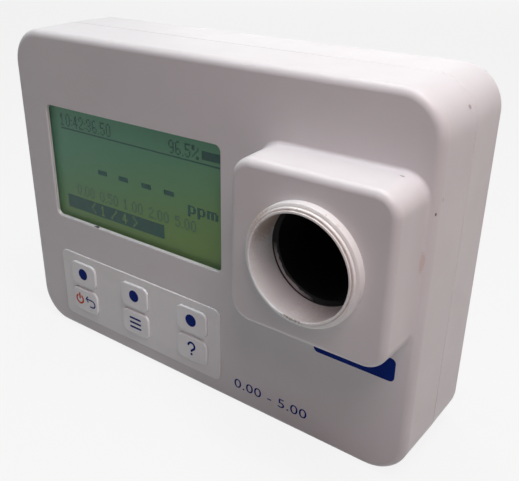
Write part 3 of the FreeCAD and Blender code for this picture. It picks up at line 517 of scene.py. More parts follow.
def moulded_group():
    """Slow colour flow, fine mould texture and uneven gloss of a moulded surface."""
    t, given = open_group("moulded_skin", SHADER, [
        ("Base", COLOUR, None), ("Deep", COLOUR, None), ("Flow Scale", FLOAT, 30.0),
        ("Grain Scale", FLOAT, 3000.0), ("Gloss Scale", FLOAT, 150.0), ("Rough Low", FLOAT, 0.4),
        ("Rough High", FLOAT, 0.5)], SKIN)
    flow = t.spread(t.noise(given["Flow Scale"], 4.0, 0.6), 0.0, 1.0, 0.35, 0.70)
    gloss = t.noise(given["Gloss Scale"], 5.0)
    return t.done({
        "Color": t.mix(flow, given["Base"], given["Deep"]),
        "Roughness": t.spread(gloss, given["Rough Low"], given["Rough High"], 0.3, 0.7),
        "Height": t.noise(given["Grain Scale"])})


def dust_group():
    """Fine dust, most of it on what looks up."""
    t, given = open_group("settled_dust", SHADER, [
        ("Color", COLOUR, None), ("Dust", COLOUR, (0.32, 0.28, 0.25, 1.0)), ("Amount", FLOAT, 0.12),
        ("Scale", FLOAT, 900.0)], [("Color", COLOUR)])
    facing = t.add("ShaderNodeSeparateXYZ", {"Vector": t.add("ShaderNodeNewGeometry").outputs["Normal"]})
    up = t.spread(facing.outputs["Z"], 0.12, 1.0, 0.15, 0.95)
    thin = t.spread(t.noise(given["Scale"], 6.0, 0.75), 0.0, 1.0, 0.60, 0.78)
    mask = t.math("MULTIPLY", t.math("MULTIPLY", up, thin), given["Amount"])
    return t.done({"Color": t.mix(mask, given["Color"], given["Dust"])})


def speck_group():
    """One mark with a ragged edge at a given place."""
    t, given = open_group("speck", SHADER, [
        ("Color", COLOUR, None), ("Mark", COLOUR, (0.05, 0.03, 0.02, 1.0)), ("Centre", VECTOR, None),
        ("Stretch", VECTOR, (1.0, 1.0, 1.0)), ("Radius", FLOAT, 0.001)], [("Color", COLOUR)])
    pulled = t.vector("MULTIPLY", t.vector("SUBTRACT", t.place(), given["Centre"]), given["Stretch"])
    share = t.math("DIVIDE", t.vector("LENGTH", pulled).outputs["Value"], given["Radius"])
    wavy = t.math("ADD", share, t.noise(1500.0, 3.0))
    return t.done({"Color": t.mix(t.spread(wavy, 0.0, 1.0, 1.5, 1.1), given["Color"], given["Mark"])})


def metal_group():
    """Drawn or turned metal with fine lines across one direction."""
    t, given = open_group("drawn_metal", SHADER, [
        ("Base", COLOUR, None), ("Deep", COLOUR, None), ("Stretch", VECTOR, (1.0, 1.0, 1.0)),
        ("Scale", FLOAT, 1500.0)], SKIN)
    lines = t.noise(given["Scale"], 5.0, 0.65, t.vector("MULTIPLY", t.place(), given["Stretch"]))
    return t.done({
        "Color": t.mix(lines, given["Base"], given["Deep"]), "Roughness": t.spread(lines, 0.22, 0.48),
        "Height": lines})


GROUPS = {}


def group(name):
    makers = {"moulded": moulded_group, "dust": dust_group, "speck": speck_group, "metal": metal_group}
    if name not in GROUPS:
        GROUPS[name] = makers[name]()
    return GROUPS[name]


# Materials

def start_material(name):
    material = bpy.data.materials.new(name)
    material.use_nodes = True
    return material, Tree(material.node_tree), material.node_tree.nodes["Principled BSDF"]


def moulded(name, base, deep, rough, flow, grain, depth, dust=0.0, marks=(), coat=0.0, specular=0.5,
            grime=None):
    """Moulded plastic or rubber. Marks are (centre, stretch, radius, colour) in millimetres: stains and
    specks, and also patches of painted light and shade. The last argument is the colour that the mesh's own
    attribute of the same name lays on: brown dirt together with painted shade in a corner."""
    material, t, shader = start_material(name)
    skin = t.add("ShaderNodeGroup", {
        "Base": rgba(base), "Deep": rgba(deep), "Flow Scale": flow, "Grain Scale": grain,
        "Rough Low": rough[0], "Rough High": rough[1]}, node_tree=group("moulded")).outputs
    tint = skin["Color"]
    if dust > 0.0:
        tint = t.add("ShaderNodeGroup", {"Amount": dust, "Color": tint}, node_tree=group("dust")).outputs[0]
    for centre, stretch, radius, mark in marks:
        tint = t.add("ShaderNodeGroup", {
            "Centre": [c * MM for c in centre], "Stretch": stretch, "Radius": radius * MM, "Mark": rgba(mark),
            "Color": tint}, node_tree=group("speck")).outputs[0]
    # Brown dirt together with painted shade, laid on where the mesh's attribute says.
    if grime:
        grime_shade_share = t.add("ShaderNodeAttribute", attribute_name="grime")
        tint = t.mix(grime_shade_share.outputs["Fac"], tint, rgba(grime))
    t.fill(shader, {
        "Base Color": tint, "Roughness": skin["Roughness"], "Normal": t.bump(skin["Height"], 0.6, depth),
        "Coat Weight": coat, "Coat Roughness": 0.2, "Specular IOR Level": specular})
    return material


def metal(name, base, deep, stretch, scale):
    material, t, shader = start_material(name)
    lines = t.add("ShaderNodeGroup", {
        "Base": rgba(base), "Deep": rgba(deep), "Stretch": stretch, "Scale": scale},
        node_tree=group("metal")).outputs
    t.fill(shader, {
        "Base Color": lines["Color"], "Roughness": lines["Roughness"],
        "Normal": t.bump(lines["Height"], 0.4, 0.004), "Metallic": 1.0})
    return material


def clear(name, tint, rough, ior):
    """Clear moulding or glass that lets the lamps shine on what lies behind it."""
    material, t, shader = start_material(name)
    smear = t.spread(t.noise(120.0, 6.0, 0.7), rough[0], rough[1], 0.35, 0.75)
    t.fill(shader, {"Roughness": smear, "Base Color": rgba(tint), "Transmission Weight": 1.0, "IOR": ior})
    ray = t.add("ShaderNodeLightPath").outputs
    through = t.add("ShaderNodeBsdfTransparent", {"Color": rgba(tint)})
    t.show(t.math("MAXIMUM", ray["Is Shadow Ray"], ray["Is Diffuse Ray"]), shader, through)
    return material


def bevel_glint_material():
    """Black bevel of the well, with a painted grey reflection along its outer edge at the lower left, where
    the bevel faces up to the lamps.
    """
    material, t, shader = start_material("rubbed_black")
    centre = (COLLAR_LOW + COLLAR_HIGH) / 2
    flat = t.vector("MULTIPLY", t.vector("SUBTRACT", t.place(), centre), (1.0, 0.0, 1.0))
    ragged = t.noise(420.0, 5.0)
    edge = t.math("ADD", t.vector("LENGTH", flat).outputs["Value"], t.spread(ragged, -0.5 * MM, 0.5 * MM))
    # Painted reflection: grey on a ragged band at the bevel's outer edge, strongest towards the lower left.
    band = t.spread(edge, 0.0, 1.0, 12.95 * MM, 13.1 * MM)
    low = t.vector("DOT_PRODUCT", flat, (-0.72, 0.0, -0.69)).outputs["Value"]
    mask = t.math("MULTIPLY", band, t.spread(low, 0.0, 1.0, 10.0 * MM, 12.6 * MM))
    t.fill(shader, {
        "Base Color": t.mix(mask, (0.002, 0.002, 0.002, 1.0), (0.50, 0.49, 0.49, 1.0)),
        "Roughness": t.spread(ragged, 0.30, 0.50), "Specular IOR Level": 0.15})
    return material


def display_material(finish):
    """Reflective panel: cooler and darker at the upper left, yellower at the foot, a change that is painted
    shade and painted reflection. Its weak glow is painted light that lifts the panel where it lies in shade.
    """
    material, t, shader = start_material("lcd_glass")
    place = t.add("ShaderNodeSeparateXYZ", {"Vector": t.place()}).outputs
    down = t.spread(place["Z"], 0.0, 1.0, WINDOW_HIGH.z, WINDOW_LOW.z)
    across = t.spread(place["X"], -0.28, 0.12, WINDOW_LOW.x, WINDOW_HIGH.x)
    cloud = t.noise(45.0, 3.0)
    total = t.math("ADD", t.math("ADD", down, across), t.spread(cloud, -0.07, 0.07))
    ramp = t.spread(total, 0.0, 1.0, interpolation_type="SMOOTHSTEP")
    t.fill(shader, {
        "Base Color": t.mix(ramp, rgba(finish.display_top), rgba(finish.display_foot)),
        "Roughness": t.spread(cloud, 0.32, 0.45), "Specular IOR Level": 0.08,
        "Emission Color": rgba(finish.glow), "Emission Strength": 0.045})
    return material


def board_material():
    """Solder mask over a maze of copper lines."""
    material, t, shader = start_material("circuit_board")
    lines = t.add("ShaderNodeTexBrick", {
        "Vector": t.place(), "Color1": (0.010, 0.095, 0.035, 1.0), "Color2": (0.013, 0.110, 0.042, 1.0),
        "Mortar": (0.045, 0.190, 0.070, 1.0), "Scale": 260.0, "Mortar Size": 0.03}).outputs
    t.fill(shader, {
        "Base Color": lines["Color"], "Roughness": t.spread(t.noise(900.0), 0.2, 0.4),
        "Normal": t.bump(lines["Fac"], 0.3, 0.03)})
    return material


def banded_material(name, axis, bands, base, band, scale, rough):
    """Film whose colour changes in bands along one axis: cell wraps and ribbon conductors."""
    material, t, shader = start_material(name)
    place = t.add("ShaderNodeSeparateXYZ", {"Vector": t.place()}).outputs[axis]
    wave = t.add("ShaderNodeMath", {0: t.math("MULTIPLY", place, bands)}, operation="SINE")
    t.fill(shader, {
        "Base Color": t.mix(t.spread(wave, 0.0, 1.0, -0.1, 0.1), rgba(base), rgba(band)),
        "Roughness": t.spread(t.noise(scale), rough[0], rough[1])})
    return material


# Marks on the casing: centre, stretch, radius and colour
CASING_MARKS = (
    ((-39.7, -8.0, 42.75), (0.5, 1.0, 1.6), 0.62, (0.020, 0.012, 0.010)),
    ((69.97, 5.64, 96.47), (1.0, 0.8, 0.9), 0.62, (0.400, 0.350, 0.350)),
    ((63.67, -11.16, 84.21), (0.7, 1.5, 1.0), 0.50, (0.330, 0.290, 0.280)),
    ((70.77, -7.71, 75.9), (1.0, 1.3, 0.6), 0.30, (0.110, 0.070, 0.075)),
    ((71.15, -5.9, 78.8), (1.0, 1.4, 0.4), 0.30, (0.460, 0.400, 0.400)),
    ((69.35, -8.9, 64.0), (1.0, 1.6, 0.35), 1.15, (0.660, 0.580, 0.540)),
)
# Marks on the collar. The first is painted light, a paler patch on the lower inside wall, and the second is
# painted shade, a brown patch on the upper left inside wall; the rest are specks and stains.
COLLAR_MARKS_AND_PAINTED_LIGHT = (
    ((42.5, -19.0, 56.5), (0.7, 0.6, 0.8), 10.0, (0.920, 0.985, 0.985)),
    ((34.5, -19.0, 70.5), (1.0, 1.0, 1.0), 7.5, (0.640, 0.540, 0.470)),
    ((44.3, -25.1, 48.3), (0.8, 1.0, 1.0), 0.75, (0.560, 0.400, 0.320)),
    ((52.79, -23.32, 76.48), (1.0, 1.0, 1.0), 0.19, (0.500, 0.400, 0.350)),
    ((55.93, -23.41, 74.77), (0.6, 0.8, 1.2), 0.50, (0.800, 0.750, 0.710)),
    ((46.27, -24.72, 76.68), (1.0, 1.0, 1.0), 0.20, (0.500, 0.400, 0.350)),
    ((33.9, -21.53, 64.91), (1.0, 0.7, 0.9), 0.60, (0.780, 0.710, 0.660)),
    ((58.4, -22.9, 72.4), (1.0, 1.0, 1.0), 0.20, (0.420, 0.320, 0.270)),
)

MATERIALS = {}


def make_materials():
    finish = bpy.context.scene.photometer_finish

    def shade(values, factor):
        return [c * factor for c in values]

    # Name, base, deep, roughness, flow scale, grain scale and depth, and what else differs
    rows = (
        ("shell_white", finish.shell, finish.shell_deep, (0.36, 0.48), 22.0, 2600.0, 0.006,
         {"dust": 0.10, "marks": CASING_MARKS}),
        ("cover_white", shade(finish.shell, 0.98), shade(finish.shell_deep, 0.97), (0.38, 0.50), 26.0, 2600.0,
         0.006, {"dust": 0.10}),
        ("collar_cream", finish.collar, finish.collar_deep, (0.26, 0.40), 70.0, 1800.0, 0.003,
         {"dust": 0.18, "marks": COLLAR_MARKS_AND_PAINTED_LIGHT, "coat": 0.15, "grime": (0.300, 0.190, 0.140)}),
        ("keypad_silicone", finish.keypad, shade(finish.keypad, 0.94), (0.42, 0.55), 60.0, 2200.0, 0.005,
         {"dust": 0.06}),
        ("key_silicone", finish.key, shade(finish.key, 0.95), (0.34, 0.46), 120.0, 2200.0, 0.004,
         {"dust": 0.05}),
        ("navy_print", finish.navy, shade(finish.navy, 0.8), (0.45, 0.55), 90.0, 4000.0, 0.002,
         {"specular": 0.05}),
        ("power_print", finish.power, shade(finish.power, 0.85), (0.45, 0.55), 90.0, 4000.0, 0.002,
         {"specular": 0.15}),
        ("display_ink", finish.ink, shade(finish.ink, 1.3), (0.35, 0.5), 300.0, 5000.0, 0.001,
         {"specular": 0.15}),
        ("display_ghost", finish.ghost, shade(finish.ghost, 1.15), (0.35, 0.5), 300.0, 5000.0, 0.001,
         {"specular": 0.15}),
        ("mark_grey", (0.30, 0.30, 0.31), (0.26, 0.26, 0.27), (0.4, 0.5), 90.0, 3000.0, 0.004, {}),
        ("seal_rubber", (0.012, 0.012, 0.012), (0.022, 0.020, 0.019), (0.5, 0.7), 90.0, 3000.0, 0.004, {}),
        ("seal_foam", (0.015, 0.015, 0.015), (0.030, 0.030, 0.030), (0.8, 0.95), 200.0, 1500.0, 0.03, {}),
        ("black_plastic", (0.0035, 0.0035, 0.0035), (0.006, 0.006, 0.006), (0.5, 0.62), 60.0, 2500.0, 0.008,
         {"specular": 0.25}),
        ("grey_plastic", (0.110, 0.115, 0.120), (0.095, 0.100, 0.105), (0.5, 0.6), 30.0, 3000.0, 0.004, {}),
        ("light_guide", (0.72, 0.78, 0.66), (0.66, 0.72, 0.60), (0.25, 0.35), 30.0, 3000.0, 0.004, {}),
        ("switch_black", (0.02, 0.02, 0.02), (0.03, 0.03, 0.03), (0.45, 0.6), 30.0, 3000.0, 0.004, {}),
        ("chip_black", (0.018, 0.018, 0.02), (0.028, 0.028, 0.03), (0.5, 0.65), 400.0, 3000.0, 0.004, {}),
        ("socket_ivory", (0.64, 0.58, 0.42), (0.58, 0.52, 0.37), (0.4, 0.5), 30.0, 3000.0, 0.004, {}),
    )
    made = {row[0]: moulded(*row[:-1], **row[-1]) for row in rows}
    # Black with a painted grey reflection on the well's bevel.
    made["rubbed_black"] = bevel_glint_material()
    for name, base, deep, stretch, scale in (
            ("tin_can", (0.62, 0.62, 0.60), (0.50, 0.50, 0.47), (1.0, 1.0, 0.1), 1500.0),
            ("contact_metal", (0.66, 0.64, 0.60), (0.52, 0.50, 0.45), (0.1, 1.0, 1.0), 1500.0),
            ("screw_steel", (0.56, 0.56, 0.57), (0.40, 0.40, 0.41), (1.0, 0.15, 1.0), 2500.0)):
        made[name] = metal(name, base, deep, stretch, scale)
    for name, tint, rough, ior in (
            ("clear_resin", (0.90, 0.94, 0.98), (0.02, 0.08), 1.49),
            ("optical_glass", (0.95, 0.98, 0.97), (0.0, 0.03), 1.52),
            ("filter_glass", (0.20, 0.62, 0.30), (0.0, 0.04), 1.52),
            ("window_clear", (0.93, 0.96, 0.93), (0.06, 0.16), 1.19)):
        made[name] = clear(name, tint, rough, ior)
    made["lcd_glass"] = display_material(finish)
    made["circuit_board"] = board_material()
    made["cell_wrap"] = banded_material(
        "cell_wrap", "Z", 62.0, (0.020, 0.055, 0.160), (0.55, 0.55, 0.56), 600.0, (0.2, 0.35))
    made["ribbon_amber"] = banded_material(
        "ribbon_amber", "Y", 6200.0, (0.42, 0.13, 0.012), (0.50, 0.20, 0.035), 800.0, (0.25, 0.4))
    MATERIALS.update(made)


# The display's picture, in dots. Rows run from the top.

GLYPHS = {
    "0": "0110 1001 1001 1001 1001 1001 0110",
    "1": "0100 1100 0100 0100 0100 0100 1110",
    "2": "0110 1001 0001 0010 0100 1000 1111",
    "3": "0110 1001 0001 0110 0001 1001 0110",
    "4": "0010 0110 0110 1010 1111 0010 0010",
    "5": "1111 1000 1110 0001 0001 1001 0110",
    "6": "0110 1000 1000 1110 1001 1001 0110",
    "9": "0110 1001 1001 0111 0001 0001 0110",
    ":": "0 0 1 0 0 1 0",
    ".": "0 0 0 0 0 0 1",
    "/": "00001 00001 00010 00100 01000 10000 10000",
    "%": "11000 11001 00010 00100 01000 10011 00011",
    "<": "0001 0010 0100 1000 0100 0010 0001",
    ">": "1000 0100 0010 0001 0010 0100 1000",
    " ": "000 000 000 000 000 000 000",
    "p": "111110 110011 110011 110011 111110 110000 110000",
    "m": "11111110 11011011 11011011 11011011 11011011 00000000 00000000",
}
DISPLAY_LEFT = -54.9 * MM
DISPLAY_TOP = 77.95 * MM


def glyph_dots(text, column, row, gap=1, order=range(7)):
    """Set of (column, row) that a line of text switches on. A longer order of rows makes taller letters."""
    dots = set()
    for letter in text:
        lines = GLYPHS[letter].split()
        rows = [lines[i] for i in order]
        for r, line in enumerate(rows):
            dots.update((column + c, row + r) for c, bit in enumerate(line) if bit == "1")
        column += len(rows[0]) + gap
    return dots


def block_dots(first_column, last_column, first_row, last_row):
    return {(c, r) for c in range(first_column, last_column + 1) for r in range(first_row, last_row + 1)}


def display_picture():
    """Full dots and half dots of the display."""
    tall = (0, 1, 1, 2, 3, 4, 5, 6)
    full = glyph_dots("10:42:36.50", 0, 1, 1, tall)
    full |= glyph_dots("96.5%", 91, 1, 1, tall)
    full |= block_dots(115, 127, 3, 7)
    full |= block_dots(0, 127, 10, 10)
    for column in (31, 49, 68, 86):
        full |= block_dots(column, column + 7, 32, 34)
    full |= glyph_dots("ppm", 104, 37)
    bar = block_dots(0, 84, 55, 63) - glyph_dots("< 1 / 4 >", 22, 56)
    ghost = glyph_dots("0.00 0.50 1.00 2.00 5.00", 10, 46)
    return full | bar, ghost


def display_points(dots):
    pitch = bpy.context.scene.photometer_sizes.dot_pitch
    y = LCD_LOW.y - 0.005 * MM
    return [(DISPLAY_LEFT + (c + 0.5) * pitch, y, DISPLAY_TOP - (r + 0.5) * pitch) for c, r in sorted(dots)]


# Operators

class PHOTOMETER_OT_stage(bpy.types.Operator):
    """Camera, floor, surroundings and lamps"""
    bl_idname = "photometer.stage"
    bl_label = "Set the Stage"

    def execute(self, context):
        stage = context.scene.photometer_stage
        data = bpy.data.cameras.new("photo_camera")
        data.lens = stage.camera_lens
        data.sensor_width = 36.0
        data.shift_x, data.shift_y = stage.camera_shift
        data.clip_start = 0.005
        camera = bpy.data.objects.new("photo_camera", data)
        camera.location = stage.camera_place
        camera.rotation_euler = stage.camera_turn
        context.scene.collection.objects.link(camera)
        context.scene.camera = camera
        context.scene.view_settings.view_transform = "Standard"
        self.add_floor(context, stage)
        self.add_world(context, stage)
        for name, place, target, width, depth, tint in LAMPS:
            self.add_lamp(context, name, getattr(stage, name + "_power"), place, target, width, depth, tint)
        return {"FINISHED"}

    def add_floor(self, context, stage):
        half = 2.5
        mesh = bpy.data.meshes.new("floor")
        mesh.from_pydata([(-half, -half, 0), (half, -half, 0), (half, half, 0), (-half, half, 0)], [],
                         [(0, 1, 2, 3)])
        material, t, shader = start_material("floor")
        t.fill(shader, {
            "Base Color": t.spread(t.noise(6.0), 0.50, 0.54), "Roughness": 0.9, "Specular IOR Level": 0.1})
        glow = t.add("ShaderNodeEmission", {"Color": WHITE, "Strength": 1.0})
        t.show(t.seen_white(stage.backdrop), shader, glow)
        mesh.materials.append(material)
        floor = bpy.data.objects.new("floor", mesh)
        context.scene.collection.objects.link(floor)

    def add_world(self, context, stage):
        world = bpy.data.worlds.new("surroundings")
        world.use_nodes = True
        context.scene.world = world
        t = Tree(world.node_tree)
        even = world.node_tree.nodes["Background"]
        t.fill(even, {"Color": rgba(stage.sky_tint), "Strength": stage.sky})
        white = t.add("ShaderNodeBackground", {"Color": WHITE, "Strength": stage.backdrop})
        t.show(t.seen_white(1.0), even, white)

    def add_lamp(self, context, name, strength, place, target, width, depth, tint):
        data = bpy.data.lights.new(name + "_light", "AREA")
        data.shape = "RECTANGLE"
        data.size = width
        data.size_y = depth
        data.energy = strength
        data.color = tint
        lamp = bpy.data.objects.new(name + "_light", data)
        lamp.location = place
        lamp.rotation_euler = (Vector(target) - Vector(place)).to_track_quat("-Z", "Y").to_euler()
        context.scene.collection.objects.link(lamp)


class PHOTOMETER_OT_casing(bpy.types.Operator):
    """Front and rear shells with their mould texture and marks of use"""
    bl_idname = "photometer.casing"
    bl_label = "Finish the Casing"

    def execute(self, context):
        for node in ("front_shell", "rear_shell"):
            dress(node, MATERIALS["shell_white"])
        return {"FINISHED"}


class PHOTOMETER_OT_port(bpy.types.Operator):
    """Port collar with its chipped rim, and the dark well behind it"""
    bl_idname = "photometer.port"
    bl_label = "Build the Port"

    # Middle and half of the arc over which the thin lip is broken away and the rim is chipped, in degrees
    broken_arc = (266.0, 12.0)
    chipped_arc = (264.0, 19.0)

    def execute(self, context):
        sizes = context.scene.photometer_sizes
        centre = (COLLAR_LOW + COLLAR_HIGH) / 2
        rim = COLLAR_LOW.y
        foot = rim + sizes.collar_rise
        shoulder = foot - sizes.collar_step
        shank = COLLAR_HIGH.y
        ring = sizes.collar_bore + sizes.lip_width
        corners = [
            (sizes.collar_bore, rim, 0.25), (ring, rim, 0.15),
            (ring, rim + sizes.ring_drop, 0.04), (sizes.collar_lip, rim + sizes.ring_drop, 0.22),
            (sizes.collar_lip, shoulder, 0.10), (sizes.collar_shoulder, shoulder, 0.12),
            (sizes.collar_base, shoulder + 0.25 * MM, 0.15), (sizes.collar_base, foot, 0.0),
            (sizes.collar_lip + 0.1 * MM, foot, 0.0), (sizes.collar_lip + 0.1 * MM, shank, 0.1),
            (sizes.collar_bore, shank, 0.1),
        ]
        mean = (sizes.collar_bore + sizes.collar_lip) / 2
        profile = self.rounded(corners, mean)
        count = len(profile)
        start = point_mesh("collar_profile", profile, [(i, (i + 1) % count) for i in range(count)])
        mesh = baked("port_collar_turned", start, turned_ring_tree(), {
            "Mean Radius": mean, "Centre": (centre.x, 0.0, centre.z), "Material": MATERIALS["collar_cream"]})
        self.chip(mesh, centre, rim, sizes)
        self.soil_and_shade(mesh, centre, rim, sizes)
        smooth(mesh, 38.0)
        collar = add_piece("port_collar_turned", mesh, "casing")
        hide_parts("port_collar")
        self.paint_mouth_glint(dress("cuvette_well", MATERIALS["black_plastic"]))
        paint("well_gasket", MATERIALS["seal_rubber"])
        return {"FINISHED"}

    def paint_mouth_glint(self, well):
        """The bevel of the well's mouth takes the black material with the painted grey reflection."""
        well.data.materials.append(MATERIALS["rubbed_black"])
        mouth = min(v.co.y for v in well.data.vertices)
        for face in well.data.polygons:
            if face.center.y < mouth + 2.0 * MM and -0.95 < face.normal.y < -0.25:
                face.material_index = 1

    def rounded(self, corners, mean):
        """Closed profile, X measured from the mean radius. A corner is its radius, its place along Y, and
        its rounding in millimetres."""
        points = []
        steps = 5
        for i, (r, y, radius) in enumerate(corners):
            here = Vector((r - mean, y))
            if radius == 0.0:
                points.append((here.x, here.y, 0.0))
                continue
            before = Vector((corners[i - 1][0] - mean, corners[i - 1][1])) - here
            after_corner = corners[(i + 1) % len(corners)]
            after = Vector((after_corner[0] - mean, after_corner[1])) - here
            cut = min(radius * MM, before.length * 0.45, after.length * 0.45)
            first = here + before.normalized() * cut
            last = here + after.normalized() * cut
            for k in range(steps + 1):
                f = k / steps
                p = first * (1 - f) ** 2 + here * 2 * f * (1 - f) + last * f ** 2
                points.append((p.x, p.y, 0.0))
        return points

    def polar(self, vertex, centre):
        """Offsets of a vertex from the collar's axis, its distance from it, and its angle in degrees."""
        x = vertex.co.x - centre.x
        z = vertex.co.z - centre.z
        return x, z, math.hypot(x, z), math.degrees(math.atan2(z, x)) % 360

    def nearness(self, angle, place):
        """1 in the middle of an arc and 0 at its ends."""
        middle, half = place
        return 1.0 - abs(angle - middle) / half

    def wave(self, x, y, z):
        return noise.noise(Vector((x, y, z)))

    def soil_and_shade(self, mesh, centre, rim, sizes):
        """Attribute of the brownish tint beside the lip and round the broken edge: dirt together with painted
        shade in the step's inner corner.
        """
        grime = mesh.attributes.new("grime", "FLOAT", "POINT")
        middle = sizes.collar_bore + sizes.lip_width
        for vertex in mesh.vertices:
            x, z, radius, angle = self.polar(vertex, centre)
            away = math.hypot(radius - middle, vertex.co.y - rim - sizes.ring_drop) / (0.40 * MM)
            patchy = 0.65 + 0.5 * self.wave(angle * 0.16, 1.0, 5.0)
            front = vertex.co.y < rim + 1.2 * MM and radius > sizes.collar_bore + 0.1 * MM
            broken = self.broken(angle) if front else 0.0
            grime.data[vertex.index].value = min(1.0, max(0.0, 1.0 - away) * patchy + 0.30 * broken)

    def broken(self, angle):
        """Share of the thin lip that has broken away at this angle."""
        near = self.nearness(angle, self.broken_arc)
        return min(1.0, max(0.0, (near + 0.5 * self.wave(angle * 0.55, 2.0, 9.0)) * 4.0))

    def chip(self, mesh, centre, rim, sizes):
        """Break the outer edge of the rim raggedly over a short arc at its lower left."""
        ring = sizes.collar_bore + sizes.lip_width + 0.02 * MM
        ledge = rim + sizes.ring_drop
        for vertex in mesh.vertices:
            x, z, radius, angle = self.polar(vertex, centre)
            if radius < ring and vertex.co.y < ledge:
                gone = self.broken(angle) * (0.85 + 0.6 * self.wave(angle * 1.3, radius * 1500.0, 9.0))
                vertex.co.y += (ledge - vertex.co.y) * min(1.0, gone)
            edge = max(0.0, 1.0 - abs(radius - sizes.collar_lip) / (1.3 * MM))
            near = max(0.0, 1.0 - (vertex.co.y - rim) / (1.7 * MM))
            span = max(0.0, self.nearness(angle, self.chipped_arc))
            if edge * near * span <= 0.0 or radius < sizes.collar_bore + 0.2 * MM:
                continue
            ragged = self.wave(angle * 0.42, vertex.co.y * 900.0, 3.0) * 0.9 + 0.45
            fine = self.wave(angle * 1.9, 7.0, radius * 2500.0) * 0.35
            depth = sizes.chip_depth * max(0.0, ragged + fine) * edge * near * min(1.0, span * 2.2)
            shrink = 1.0 - 0.75 * depth / radius
            vertex.co.x = centre.x + x * shrink
            vertex.co.z = centre.z + z * shrink
            vertex.co.y += 0.8 * depth


class PHOTOMETER_OT_display(bpy.types.Operator):
    """Display window, panel and the picture on it"""
    bl_idname = "photometer.display"
    bl_label = "Build the Display"

    def execute(self, context):
        sizes = context.scene.photometer_sizes
        paint("display_window", MATERIALS["window_clear"])
        paint("lcd_panel", MATERIALS["lcd_glass"])
        full, ghost = display_picture()
        tree = dot_matrix_tree()
        for name, dots, finish in (("display_dots", full, "display_ink"),
                                   ("display_ghost_dots", ghost, "display_ghost")):
            mesh = baked(name, point_mesh(name + "_points", display_points(dots)), tree, {
                "Side": sizes.dot_side, "Thickness": 0.01 * MM, "Material": MATERIALS[finish]})
            add_piece(name, mesh, "casing")
        return {"FINISHED"}


class PHOTOMETER_OT_keypad(bpy.types.Operator):
    """Keypad panel, six keys and the signs printed on them"""
    bl_idname = "photometer.keypad"
    bl_label = "Build the Keypad"

    def execute(self, context):
        dress("keypad_panel", MATERIALS["keypad_silicone"])
        for row in ("upper", "lower"):
            for column in ("left", "middle", "right"):
                dress("key_" + row + "_" + column, MATERIALS["key_silicone"])
        for column in ("left", "middle", "right"):
            self.sign("upper_" + column, self.dot, "navy_print")
        self.sign("lower_left", self.power, "power_print", "power_")
        self.sign("lower_left", self.back_arrow, "navy_print", "back_")
        self.sign("lower_middle", self.bars, "navy_print")
        self.sign("lower_right", self.question, "navy_print")
        return {"FINISHED"}

    def sign(self, key, draw, finish, prefix=""):
        low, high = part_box("key_" + key)
        sizes = bpy.context.scene.photometer_sizes
        outlines = draw((low.x + high.x) / 2, (low.z + high.z) / 2, sizes.stroke)
        print_on_face("sign_" + prefix + key, outlines, low.y, "button_" + key, MATERIALS[finish])

    def dot(self, x, z, width):
        radius = bpy.context.scene.photometer_sizes.dot_diameter / 2
        return [round_outline(x, z + 0.3 * MM, radius)]

    def power(self, x, z, width):
        cx, cz = x - 2.75 * MM, z - 0.05 * MM
        return [
            stroke(arc(cx, cz, 1.6 * MM, 128, 412, 28), width * 1.1),
            stroke([(cx, cz + 0.35 * MM), (cx, cz + 2.2 * MM)], width * 1.1),
        ]

    def back_arrow(self, x, z, width):
        left, right = x + 0.35 * MM, x + 3.35 * MM
        top, foot = z + 0.95 * MM, z - 1.65 * MM
        width *= 0.8
        radius = (top - foot) / 2
        hook = [(left + 0.3 * MM, top), (right, top)]
        hook += arc(right, top - radius, radius, 90, -90, 12)[1:]
        hook.append((right - 1.1 * MM, foot))
        head = 0.95 * MM
        return [
            stroke(hook, width),
            stroke([(left + head, top + head), (left, top), (left + head, top - head)], width),
        ]

    def bars(self, x, z, width):
        half = 2.2 * MM
        return [stroke([(x - half, z + dz * MM), (x + half, z + dz * MM)], width * 1.1)
                for dz in (1.75, 0.05, -1.65)]

    def question(self, x, z, width):
        cz = z + 1.05 * MM
        hook = arc(x, cz, 1.25 * MM, 170, -50, 16)
        hook.append((x, z - 0.55 * MM))
        hook.append((x, z - 0.75 * MM))
        return [stroke(hook, width * 1.15), round_outline(x, z - 1.85 * MM, 0.42 * MM, 20)]


# Label bar, in millimetres: middle across and up, width, height and corner radius
LABEL_BAR = (54.5, 33.1, 23.2, 6.8, 1.4)
# Range of numbers, in millimetres: left end, foot and width
RANGE_LEFT, RANGE_FOOT, RANGE_WIDTH = 16.5, 6.1, 25.3


class PHOTOMETER_OT_label(bpy.types.Operator):
    """Bare label bar below the port and a printed range of numbers"""
    bl_idname = "photometer.label"
    bl_label = "Print the Face"

    text: StringProperty(
        name="Range", description="Plain numbers at the foot of the face", default="0.00 - 5.00")

    def execute(self, context):
        bar = rounded_rectangle(*[v * MM for v in LABEL_BAR])
        print_on_face("label_bar", [bar], FACE_Y, "casing", MATERIALS["navy_print"])
        curve = bpy.data.curves.new("range_numbers", "FONT")
        curve.body = self.text
        curve.size = 4.3 * MM
        curve.extrude = 0.02 * MM
        curve.space_character = 1.05
        words = bpy.data.objects.new("range_numbers_curve", curve)
        context.scene.collection.objects.link(words)
        context.view_layer.update()
        mesh = bpy.data.meshes.new_from_object(words.evaluated_get(context.evaluated_depsgraph_get()))
        bpy.data.objects.remove(words)
        across = [v.co.x for v in mesh.vertices]
        low = min(across)
        widen = RANGE_WIDTH * MM / (max(across) - low)
        place = Matrix.Translation((RANGE_LEFT * MM, FACE_Y - 0.01 * MM, RANGE_FOOT * MM))
        place = place @ Matrix.Rotation(math.pi / 2, 4, "X") @ Matrix.Diagonal((widen, 1.0, 1.0, 1.0))
        mesh.transform(place @ Matrix.Translation((-low, 0.0, 0.0)))
        mesh.name = "range_numbers"
        add_piece("range_numbers", mesh, "casing", MATERIALS["navy_print"])
        return {"FINISHED"}


